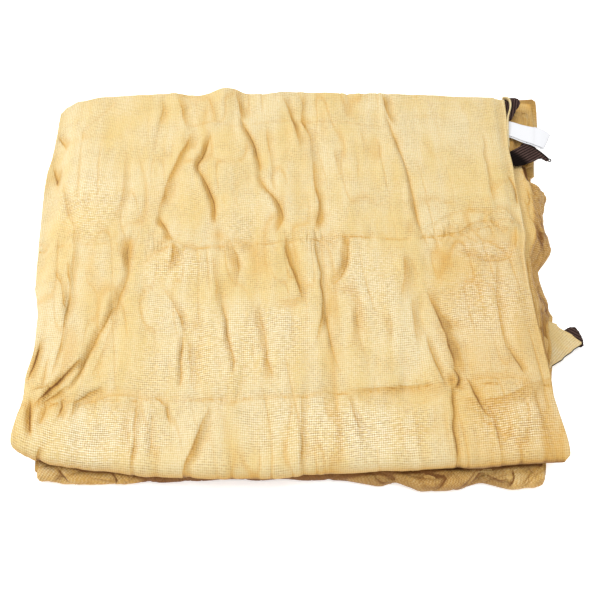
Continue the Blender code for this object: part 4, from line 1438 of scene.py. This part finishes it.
class Nodes:
    """A material's nodes. Each is fed with plain values or with other nodes' sockets."""

    def __init__(self, name):
        self.material = bpy.data.materials.new(name)
        self.material.use_nodes = True
        self.tree = self.material.node_tree
        self.shader = self.tree.nodes["Principled BSDF"]

    def feed(self, node, inputs):
        """Set some inputs of a node, by their names or numbers."""
        for key, value in inputs.items():
            if isinstance(value, bpy.types.NodeSocket):
                self.tree.links.new(value, node.inputs[key])
            else:
                node.inputs[key].default_value = value

    def add(self, kind, inputs, **settings):
        """Add a node and feed it."""
        node = self.tree.nodes.new("ShaderNode" + kind)
        for key, value in settings.items():
            setattr(node, key, value)
        self.feed(node, inputs)
        return node

    def maths(self, operation, first, second=0.0, clamp=False):
        """The result of a maths node."""
        inputs = {0: first, 1: second}
        return self.add("Math", inputs, operation=operation, use_clamp=clamp).outputs[0]

    def times(self, first, second, clamp=False):
        return self.maths("MULTIPLY", first, second, clamp)

    def plus(self, first, second, clamp=False):
        return self.maths("ADD", first, second, clamp)

    def minus(self, first, second, clamp=False):
        return self.maths("SUBTRACT", first, second, clamp)

    def where(self):
        """Places along the cloth."""
        return self.add("UVMap", {}, uv_map="knit").outputs[0]

    def stored(self, name):
        """A number that is stored for each point of the mesh."""
        return self.add("Attribute", {}, attribute_name=name).outputs["Fac"]

    def noise(self, kind):
        """A noise along the cloth."""
        source = self.where()
        if kind.stretch:
            source = self.add("Mapping", {0: source, "Scale": kind.stretch}).outputs[0]
        inputs = {"Vector": source, "Scale": kind.scale, "Detail": kind.detail}
        return self.add("TexNoise", inputs, noise_dimensions="2D").outputs[0]

    def sway(self, kind, reach):
        """A noise around zero, over a whole reach."""
        return self.times(self.minus(self.noise(kind), 0.5), reach)

    def spread(self, value, low, high):
        """Ease from 0 to 1 while a value goes from low to high."""
        inputs = {"Value": value, "From Min": low, "From Max": high}
        return self.add("MapRange", inputs, interpolation_type="SMOOTHSTEP").outputs[0]

    def patches(self, kind, low, high):
        """A noise with its ends drawn out."""
        return self.spread(self.noise(kind), low, high)

    def wave(self, value, pitch):
        """A wave between 0 and 1."""
        phase = self.maths("SINE", self.times(value, 2 * math.pi / (pitch * MM)))
        return self.plus(self.times(phase, 0.5), 0.5)

    def blend(self, first, second, share, kind="MIX"):
        """Two colours blended. The first may be another blend."""
        first = first if isinstance(first, bpy.types.NodeSocket) else (*first, 1.0)
        inputs = {0: share, 6: first, 7: (*second, 1.0)}
        return self.add("Mix", inputs, data_type="RGBA", blend_type=kind).outputs[2]

    def finish(self, colour, surface):
        """Give the shader its colour and the rest of its surface."""
        self.feed(self.shader, {"Base Color": colour, **surface})
        return self.material

    def bump(self, height, strength, distance):
        """Small relief that only the light shows."""
        inputs = {"Height": height, "Strength": strength, "Distance": distance}
        self.feed(self.shader, {"Normal": self.add("Bump", inputs).outputs[0]})


def dark_line(knit):
    """The painted dark line along a crease: sharp on its left and softer on its right."""
    away = knit.plus(knit.stored("away"), knit.sway(*LINE_SWAY))
    before = knit.maths("MAXIMUM", knit.times(away, -1.0), 0.0)
    before = knit.maths("POWER", knit.maths("DIVIDE", before, LINE_SIDES[0]), 2.0)
    behind = knit.maths("DIVIDE", knit.maths("MAXIMUM", away, 0.0), LINE_SIDES[1])
    line = knit.maths("EXPONENT", knit.times(knit.plus(before, behind), -1.0))
    return knit.times(line, knit.stored("dark"))


def knit_material():
    """Knitted cloth: shiny rows of flat strand, held by thin columns of stitches."""
    knit = Nodes("knitted_cloth")
    times, plus, minus = knit.times, knit.plus, knit.minus
    across, down, _ = knit.add("SeparateXYZ", {0: knit.where()}).outputs
    drift = times(knit.noise(ROW_DRIFT[0]), ROW_DRIFT[1])
    rows = knit.wave(plus(down, plus(knit.sway(*ROW_SWAY), drift)), ROW_PITCH)
    columns = knit.wave(plus(across, knit.sway(*COLUMN_SWAY)), COLUMN_PITCH)
    between, beside = minus(1.0, rows), minus(1.0, columns)
    grain = knit.noise(GRAIN)
    shine = knit.stored("shine")
    # Painted shade: the stored amount, with the painted dark lines along the creases
    line = dark_line(knit)
    hollow = plus(knit.stored("hollow"), line)

    tone = plus(times(knit.noise(TONE[0]), TONE[1]), times(knit.noise(STREAK[0]), STREAK[1]))
    base = knit.blend(*STRANDS, knit.spread(tone, *TONE_ENDS))
    mesh = plus(times(beside, MESH_COLUMNS), times(between, MESH_ROWS))
    base = knit.blend(base, MESH_COLOUR, times(times(mesh, grain), MESH_SHARE, True))
    with_patches, with_shine, least = GAP_SHARES
    shown = plus(times(knit.patches(*PATCHES), with_patches), times(shine, with_shine), True)
    gaps = times(knit.maths("POWER", between, ROW_POWER), knit.patches(*BREAKS))
    gaps = times(gaps, plus(shown, least))
    gaps = times(gaps, plus(times(beside, GAP_COLUMNS[0]), GAP_COLUMNS[1]), True)
    base = knit.blend(base, GAP_COLOUR, gaps)
    # Painted shade darkens the colour, to deep brown where it is deepest
    deep = knit.blend(base, PAINTED_SHADE_COLOURS[0], hollow, "MULTIPLY")
    deep = knit.blend(deep, PAINTED_SHADE_COLOURS[1], minus(hollow, 1.0, True), "MULTIPLY")
    # Painted glints, near white, along the rows of strand
    glint = times(knit.patches(*DASHES), plus(shine, GLINT_LEAST))
    glint = times(knit.maths("POWER", rows, ROW_POWER), glint, True)
    glint = times(glint, plus(times(columns, GLINT_COLUMNS[0]), GLINT_COLUMNS[1]))
    glint = times(glint, minus(1.0, times(hollow, GLINT_IN_SHADE)))

    relief = 0.0
    for value, height in zip((rows, columns, grain, line), KNIT_RELIEF):
        relief = plus(relief, times(value, height))
    knit.bump(relief, *KNIT_BUMP)
    return knit.finish(knit.blend(deep, GLINT_COLOUR, glint), KNIT_SURFACE)


def woven_material(weave):
    """Webbing or tape. What has a bump has ribs too."""
    woven = Nodes(weave.name)
    share = woven.noise(weave.noise)
    if weave.bump:
        woven.bump(share, *weave.bump)
        # The ribs' painted highlight, with the weave's two tones
        share = woven.times(woven.stored("rib_highlight_and_weave"), share)
    return woven.finish(woven.blend(*weave.tones, share), weave.surface)


def seat_height(x, y, thickness):
    """Height of a trim's middle where it is sewn under the top layer's right edge."""
    x = np.minimum(x, SEAT_EDGE)
    top = HEIGHTS[TOP] + swell(x, y) + side_droop(x, y) + folds(x, y)[0]
    return top - SHEET / 2 - SEAM_GAP - thickness / 2


def grid_sheet(grid, thickness, turn=0.0):
    """A closed thin sheet whose middle lies on a grid of points."""
    down, across = np.gradient(grid, axis=0), np.gradient(grid, axis=1)
    normals = np.cross(across, down)
    normals /= np.maximum(np.linalg.norm(normals, axis=2, keepdims=True), TINY)
    points = [grid + normals * thickness / 2, grid - normals * thickness / 2]
    rows, columns = grid.shape[:2]
    numbers = np.arange(2 * rows * columns).reshape(2, rows, columns)
    faces = []
    for side, turned in zip(numbers, (1, -1)):
        corners = (side[:-1, :-1], side[:-1, 1:], side[1:, 1:], side[1:, :-1])
        quads = np.stack([corner.ravel() for corner in corners], axis=1)
        faces += [tuple(quad[::turned]) for quad in quads.tolist()]
    rims = [np.concatenate([side[0, :-1], side[:-1, -1], side[-1, :0:-1], side[:0:-1, 0]])
            for side in numbers]
    upper, lower = (rim.tolist() for rim in rims)
    for a in range(len(upper)):
        b = (a + 1) % len(upper)
        faces.append((upper[b], upper[a], lower[a], lower[b]))
    far = np.zeros((rows, columns, 2))
    far[:, 1:, 0] = np.cumsum(np.linalg.norm(np.diff(grid, axis=1), axis=2), axis=1)
    far[1:, :, 1] = np.cumsum(np.linalg.norm(np.diff(grid, axis=0), axis=2), axis=0)
    spin = np.array(((math.cos(turn), math.sin(turn)), (-math.sin(turn), math.cos(turn))))
    coordinates = np.tile((far @ spin).reshape(-1, 2) * MM, (2, 1))
    return np.concatenate([side.reshape(-1, 3) for side in points]), faces, coordinates


def tube(path, radii, sides=TUBE_SIDES):
    """A closed round tube along a path, with a radius for each of its points."""
    path = np.array(path, float)
    ahead = np.gradient(path, axis=0)
    ahead /= np.linalg.norm(ahead, axis=1, keepdims=True)
    aside = np.cross(ahead, NEVER_AHEAD)
    aside /= np.linalg.norm(aside, axis=1, keepdims=True)
    above = np.cross(aside, ahead)
    angles = np.arange(sides) * 2 * math.pi / sides
    ring = aside[:, None] * np.cos(angles)[:, None] + above[:, None] * np.sin(angles)[:, None]
    points = (path[:, None] + ring * np.array(radii)[:, None, None]).reshape(-1, 3)
    faces = []
    for step in range(len(path) - 1):
        for a in range(sides):
            b = (a + 1) % sides
            low, high = step * sides, (step + 1) * sides
            faces.append((low + b, low + a, high + a, high + b))
    faces.append(tuple(range(sides)))
    faces.append(tuple(reversed(range(len(points) - sides, len(points)))))
    return points, faces, points[:, :2] * MM


def joined(*meshes):
    """Several meshes as one."""
    points, faces, coordinates, first = [], [], [], 0
    for mesh in meshes:
        points.append(mesh[0])
        faces += [tuple(corner + first for corner in face) for face in mesh[1]]
        coordinates.append(mesh[2])
        first += len(mesh[0])
    return np.concatenate(points), faces, np.concatenate(coordinates)


def strip_grid(stations, size, thickness, seat=None):
    """Points of a strip between its two edges, on its seat: from end to end, across."""
    rows, columns = size
    curve = np.array(rounded([tuple(station) for station in stations], STRIP_STEPS))
    at = np.linspace(0, len(curve) - 1, rows)
    edges = np.stack([np.interp(at, range(len(curve)), line) for line in curve.T], axis=1)
    share = np.linspace(0.0, 1.0, columns)
    x = mix(edges[:, :1], edges[:, 2:3], share)
    y = mix(edges[:, 1:2], edges[:, 3:4], share)
    height = seat if seat else seat_height(x, y, thickness)
    return np.stack([x, y, height - edges[:, 4:] + 0.0 * x], axis=-1)


def rib_phase(points, direction):
    """How high the ribs of a webbing stand at some points: 0 in a groove, 1 on a rib."""
    length = math.hypot(*direction)
    away = (points[..., 0] * direction[1] - points[..., 1] * direction[0]) / length
    return 0.5 + 0.5 * np.cos(2 * math.pi * away / RIB_PITCH)


def webbing_piece(name, grid, direction, *more, shade=0.0):
    """A ribbed piece of webbing on a grid of points, with other meshes joined to it."""
    ribs = rib_phase(grid, direction)
    grid[..., 2] += RIB_RISE * ribs
    # The ribs' painted highlight, taken away where there is painted shadow
    ribs = ribs * (1.0 - shade)
    points, faces, coordinates = joined(grid_sheet(grid, WEBBING), *more)
    piece = mesh_object(name, points, faces, coordinates)
    shown = np.full(len(points), PLAIN_TINT)
    shown[:2 * ribs.size] = np.tile(RIB_HIGHLIGHT * ribs.ravel() ** RIB_ROUND, 2)
    add_values(piece, "rib_highlight_and_weave", shown)
    return piece


def finish_piece(piece, material, slot_name, *nodes):
    """Give a piece its material and its body, and hide the solids it stands for.
    Its slot name is not used.
    """
    piece.data.materials.append(material)
    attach(piece, "root")
    if nodes:
        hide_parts(*nodes)


def make_cloth(material):
    """The folded sail itself."""
    points, faces, coordinates, shades = make_cloth_mesh(section_rows())
    piece = mesh_object("folded_sail", points, faces, coordinates)
    # Painted shade, painted dark lines and painted glints, stored for each point
    for name, values in zip(("hollow", "away", "dark"), shades):
        add_values(piece, name, values)
    add_values(piece, "shine", shine_at(points[:, 0], points[:, 1]))
    finish_piece(piece, material, "cloth", "sail_cloth")


def side_profile(y):
    """Points of the side fold across its way, at places from back to front."""
    edge = along(EDGES, y, "top_right")
    inner_z = along(SIDE_FOLD, y, "inner_z")
    ridge_x, ridge_z = along(SIDE_FOLD, y, "ridge_x"), along(SIDE_FOLD, y, "ridge_z")
    under = inner_z * EDGE_SHARE[0] + ridge_z * EDGE_SHARE[1] - EDGE_FALL
    stops = [(edge - SIDE_INSET, inner_z), (edge, under)]
    stops += [(ridge_x + aside, ridge_z + above) for aside, above in SIDE_RIDGE]
    for part in ("wall", "foot"):
        stops.append((along(SIDE_FOLD, y, part + "_x"), along(SIDE_FOLD, y, part + "_z")))
    profile = np.array([np.stack([x, y, z], axis=-1) for x, z in stops]).transpose(1, 0, 2)
    return np.array([resampled(line, SIDE_COLUMNS) for line in profile])


def side_shades(x, y, share, wrinkles, creases):
    """How much painted shade the side fold gets, and how much painted glint."""
    ridge = x - along(SIDE_FOLD, y, "ridge_x")
    down = smooth(ridge / SIDE_WALL + 0.5)
    beside = smooth(-ridge / SIDE_BESIDE[0]) * faded(y, SIDE_BESIDE[1])
    rim = smooth((share - SIDE_RIM[0][0]) * SIDE_RIM[0][1]) * faded(y, SIDE_RIM[1])
    shade_tint = SIDE_PAINTED_SHADE
    hollow = shade_tint.base + (shade_tint.wall + shade_tint.front * faded(y, SIDE_FRONT)) * down
    hollow = hollow + shade_tint.beside * beside - shade_tint.rim * rim + shade_tint.gathers * wrinkles * down
    hollow = hollow + shade_tint.back * faded(y, SIDE_BACK) * down + shade_tint.crease * creases
    level, more, front, back = SIDE_SHINE
    shine = level + more * down * faded(y, front) * faded(y, back)
    return np.clip(hollow, 0.0, shade_tint.most), shine


def make_side_fold(material):
    """The cloth's side, folded down over the edges of the layers on the right."""
    grid = side_profile(np.arange(SIDE_FOLD[0].y, SIDE_FOLD[-1].y, -SIDE_STEP))
    x, y = grid[..., 0].copy(), grid[..., 1].copy()
    share = np.linspace(0.0, 1.0, SIDE_COLUMNS)
    bulge, shade_tint, away, dark = creased(x, y, SIDE_CREASES)
    for height, count, cells in SIDE_SWELLS:
        bulge = bulge + height * rough(share * count, y, cells)
    depth, count, cells = SIDE_GATHERS
    wrinkles = gathers(share * count + SIDE_SLANT * y, y, cells)
    bulge = bulge - depth * wrinkles
    shown = smooth((share - SIDE_SHOWN[0]) * SIDE_SHOWN[1])
    grid[..., 0] += bulge * shown
    grid[..., 2] += SIDE_RISE * bulge * shown
    grid[..., 2] += (swell(x, y) + side_droop(x, y)) * smooth(grid[..., 2] / HEIGHTS[TOP - 1])
    piece = mesh_object("side_fold", *grid_sheet(grid, CLOTH))
    # Painted shade and painted glints of the side fold
    hollow, shine = side_shades(x, y, share, wrinkles, shade_tint * shown)
    add_grid_values(piece, hollow=hollow, away=away, dark=dark * shown, shine=shine)
    finish_piece(piece, material, "cloth")


def roll_shade(across, down, inside, shade_tint, wrinkles):
    """How much painted shade the front roll gets."""
    part = ROLL_PAINTED_SHADE
    hollow = part.base + part.crease * shade_tint + part.gathers * wrinkles
    hollow = hollow + part.under * faded(inside, ROLL_UNDER)
    hollow = hollow + part.middle * faded(across, ROLL_MIDDLE[0]) * faded(across, ROLL_MIDDLE[1])
    return np.clip(hollow + part.foot * faded(down, ROLL_LOWER), 0.0, part.most)


def make_front_roll(material):
    """Wrinkled cloth rolled over the front of the lower layers."""
    x = np.arange(ROLL_ENDS[0], ROLL_ENDS[1], ROLL_STEP)
    profile = resampled([(step.back, step.height, 0.0) for step in FRONT_ROLL], ROLL_ROWS)
    back, height = profile[:, :1], profile[:, 1:2]
    across, down = np.meshgrid(x, np.linspace(0.0, ROLL_WAY, ROLL_ROWS))
    bulge, shade_tint, away, dark = creased(across, down, ROLL_CREASES)
    wrinkles = sum(share * gathers(across + slant * down, down, cells)
                   for slant, share, cells in ROLL_GATHERS)
    bulge = bulge - ROLL_DEPTH * wrinkles + ROLL_SWELL * rough(across, down, ROLL_CELLS)
    bulge = bulge * faded(down, ROLL_TOP) * faded(down, ROLL_FOOT)
    ends = faded(x, ROLL_LEFT) * faded(x, ROLL_RIGHT)
    y = along(LOW_FRONT, x, "y") + back + (1.0 - ends) * ROLL_BACK
    z = height + low_relief(across, y) * np.minimum(1.0, height / ROLL_WAVED)
    z = ROLL_GROUND + (z - ROLL_GROUND) * mix(ROLL_LOW, 1.0, ends)
    lean = np.gradient(profile[:, :2], axis=0)
    lean /= np.linalg.norm(lean, axis=1, keepdims=True)
    z = np.maximum(z - bulge * lean[:, :1], ROLL_LEAST)
    grid = np.stack([across, y + bulge * lean[:, 1:2], z], axis=-1)
    piece = mesh_object("front_roll", *grid_sheet(grid, CLOTH, ROLL_TURN))
    # Painted shade and painted glints of the roll
    hollow = roll_shade(across, down, y - along(TOP_FRONT, across, "y"), shade_tint, wrinkles)
    shine = np.full(across.shape, ROLL_SHINE)
    add_grid_values(piece, hollow=hollow, away=away, dark=dark, shine=shine)
    finish_piece(piece, material, "cloth")


def resampled(line, count):
    """A smooth line through some points, as evenly spaced points."""
    curve = np.array(rounded(list(line), LINE_STEPS))
    far = np.concatenate([[0.0], np.cumsum(np.linalg.norm(np.diff(curve, axis=0), axis=1))])
    at = np.linspace(0.0, far[-1], count)
    return np.stack([np.interp(at, far, values) for values in curve.T], axis=1)


def make_hem_loop(material):
    """The rolled hem at the back right corner, seen edge on."""
    steps, columns = LOOP_GRID
    path = resampled([(bow.x, bow.y, 0.0) for bow in HEM_LOOP], steps)
    top = seat_height(path[:, 0], path[:, 1], 0.0) + SHEET + SEAM_GAP
    lift = HEM_LIFT * smooth(np.linspace(*LIFT_ENDS, steps))
    sink = HEM_SINK * smooth(np.linspace(*SINK_ENDS, steps))
    grid = np.repeat(path[:, None], columns, axis=1)
    grid[..., 2] = (top + (lift - sink))[:, None] + np.linspace(0.0, -HEM_HEIGHT, columns)
    piece = mesh_object("hem_loop", *grid_sheet(grid, HEM_PLY))
    finish_piece(piece, material, "cloth")


def make_strap(material):
    """The dark ribbed strap that leaves the rolled hem."""
    grid = strip_grid(STRAP, STRAP_GRID, WEBBING)
    piece = webbing_piece("ribbed_strap", grid, STRAP_RIBS)
    finish_piece(piece, material, "webbing", "edge_strap")


def make_corner_webbing(material):
    """Dark ribbed webbing that turns a corner, with a small loop at its tip."""
    grid = strip_grid(CORNER_WEBBING, WEBBING_GRID, WEBBING)
    edge = grid[BOUND_FROM:, 0] + (0.0, 0.0, BOUND_LIFT)
    binding = tube(edge, np.full(len(edge), BOUND_RADIUS))
    angles = np.linspace(0.0, 2 * math.pi, LOOP_STEPS)
    circle = np.stack([np.cos(angles), np.sin(angles), LOOP_TILT * np.sin(angles)], axis=1)
    ring = grid[-1, 0] + np.array(LOOP_OFFSET) + LOOP_RADIUS * circle
    loop = tube(ring, np.full(len(ring), LOOP_WIRE))
    shade = faded(grid[..., 0] + grid[..., 1], WEBBING_SHADE)
    piece = webbing_piece("ribbed_webbing", grid, WEBBING_RIBS, binding, loop, shade=shade)
    finish_piece(piece, material, "webbing", "corner_webbing")


def make_label(material):
    """A blank tape folded double, turned at its outer end."""
    upper = strip_grid(LABEL, LABEL_GRID, TAPE)
    end = np.clip((np.arange(len(upper)) - TAPE_TURN[0]) / TAPE_TURN[1], 0.0, 1.0)
    half_gap = TAPE_FOLD * np.sqrt(1.0 - end ** 2)
    lower = upper[::-1].copy()
    upper[..., 2] += half_gap[:, None]
    lower[..., 2] -= half_gap[::-1, None]
    shift = TAPE_SHIFT * (1.0 - end[::-1, None])
    lower[..., 1] += shift
    lower[..., 0] += TAPE_ASIDE * shift
    grid = np.concatenate([upper, lower[1:]])
    piece = mesh_object("blank_label", *grid_sheet(grid, TAPE))
    finish_piece(piece, material, "label", "label")


def make_patch(material):
    """The dark ribbed patch under the loose corner's tip."""
    grid = strip_grid(CORNER_PATCH, PATCH_GRID, WEBBING, PATCH_SEAT)
    piece = webbing_piece("ribbed_patch", grid, PATCH_RIBS)
    finish_piece(piece, material, "webbing", "corner_patch")


def make_binding(material):
    """Thin dark binding along the loose corner's front edge."""
    y = np.linspace(*BINDING_SPAN, BINDING_STEPS)
    reach = along(CORNER, y, "reach")
    x = right_edge(y, CORNER_LAYER) + reach
    z = place(0.0 * y + 1.0, y, CORNER_LAYER)[:, 2] - CORNER_DROOP * reach / CORNER_REACH
    path = np.stack([x, y, z - BINDING_DROP], axis=1)
    piece = mesh_object("corner_binding", *tube(path, np.full(len(y), BINDING), BINDING_SIDES))
    finish_piece(piece, material, "webbing")


def make_knots(material):
    """Small dark knots of thread under the label."""
    turn = np.linspace(KNOT_POLE, math.pi - KNOT_POLE, KNOT_STEPS)
    balls = []
    for x, y in KNOTS:
        height = float(seat_height(np.array([x]), np.array([y]), TAPE)[0]) - KNOT_DROP
        path = [(x, y, height - KNOT_RADIUS * math.cos(angle)) for angle in turn]
        balls.append(tube(path, KNOT_RADIUS * np.sin(turn)))
    piece = mesh_object("thread_knots", *joined(*balls))
    finish_piece(piece, material, "webbing")


def make_camera():
    """The photograph's viewpoint."""
    data = bpy.data.cameras.new("camera")
    data.sensor_width = SENSOR
    data.lens = SENSOR * FOCAL_PIXELS / IMAGE_PIXELS
    camera = bpy.data.objects.new("camera", data)
    bpy.context.collection.objects.link(camera)
    back = Vector((0.0, -math.cos(ELEVATION), math.sin(ELEVATION)))
    camera.location = TARGET + SHIFT + back * DISTANCE
    camera.rotation_euler = (math.pi / 2 - ELEVATION, 0.0, 0.0)
    bpy.context.scene.camera = camera


def make_light(light):
    """A soft square light aimed at the bundle."""
    data = bpy.data.lights.new(light.name, "AREA")
    data.shape = "SQUARE"
    data.size = light.size
    data.energy = light.power
    lamp = bpy.data.objects.new(light.name, data)
    bpy.context.collection.objects.link(lamp)
    lamp.location = light.place
    toward = LIGHT_AIM - Vector(light.place)
    lamp.rotation_euler = toward.to_track_quat("-Z", "Y").to_euler()


def make_studio():
    """Floor, surroundings and lights."""
    bpy.ops.mesh.primitive_plane_add(size=FLOOR_SIZE, location=(0.0, 0.0, 0.0))
    floor = bpy.context.object
    floor.name = "floor"
    pale = Nodes("pale_floor")
    pale.feed(pale.shader, PALE_FLOOR)
    floor.data.materials.append(pale.material)
    world = bpy.data.worlds.new("studio")
    bpy.context.scene.world = world
    world.use_nodes = True
    background = world.node_tree.nodes["Background"]
    background.inputs["Color"].default_value = (1.0, 1.0, 1.0, 1.0)
    background.inputs["Strength"].default_value = WORLD_GLOW
    for light in LIGHTS:
        make_light(light)
    bpy.context.scene.view_settings.view_transform = "Standard"


def main():
    make_camera()
    make_studio()
    knit = knit_material()
    webbing = woven_material(DARK_WEBBING)
    make_cloth(knit)
    make_side_fold(knit)
    make_front_roll(knit)
    make_hem_loop(knit)
    for make_trim in (make_strap, make_corner_webbing, make_patch, make_binding, make_knots):
        make_trim(webbing)
    make_label(woven_material(WHITE_TAPE))


main()
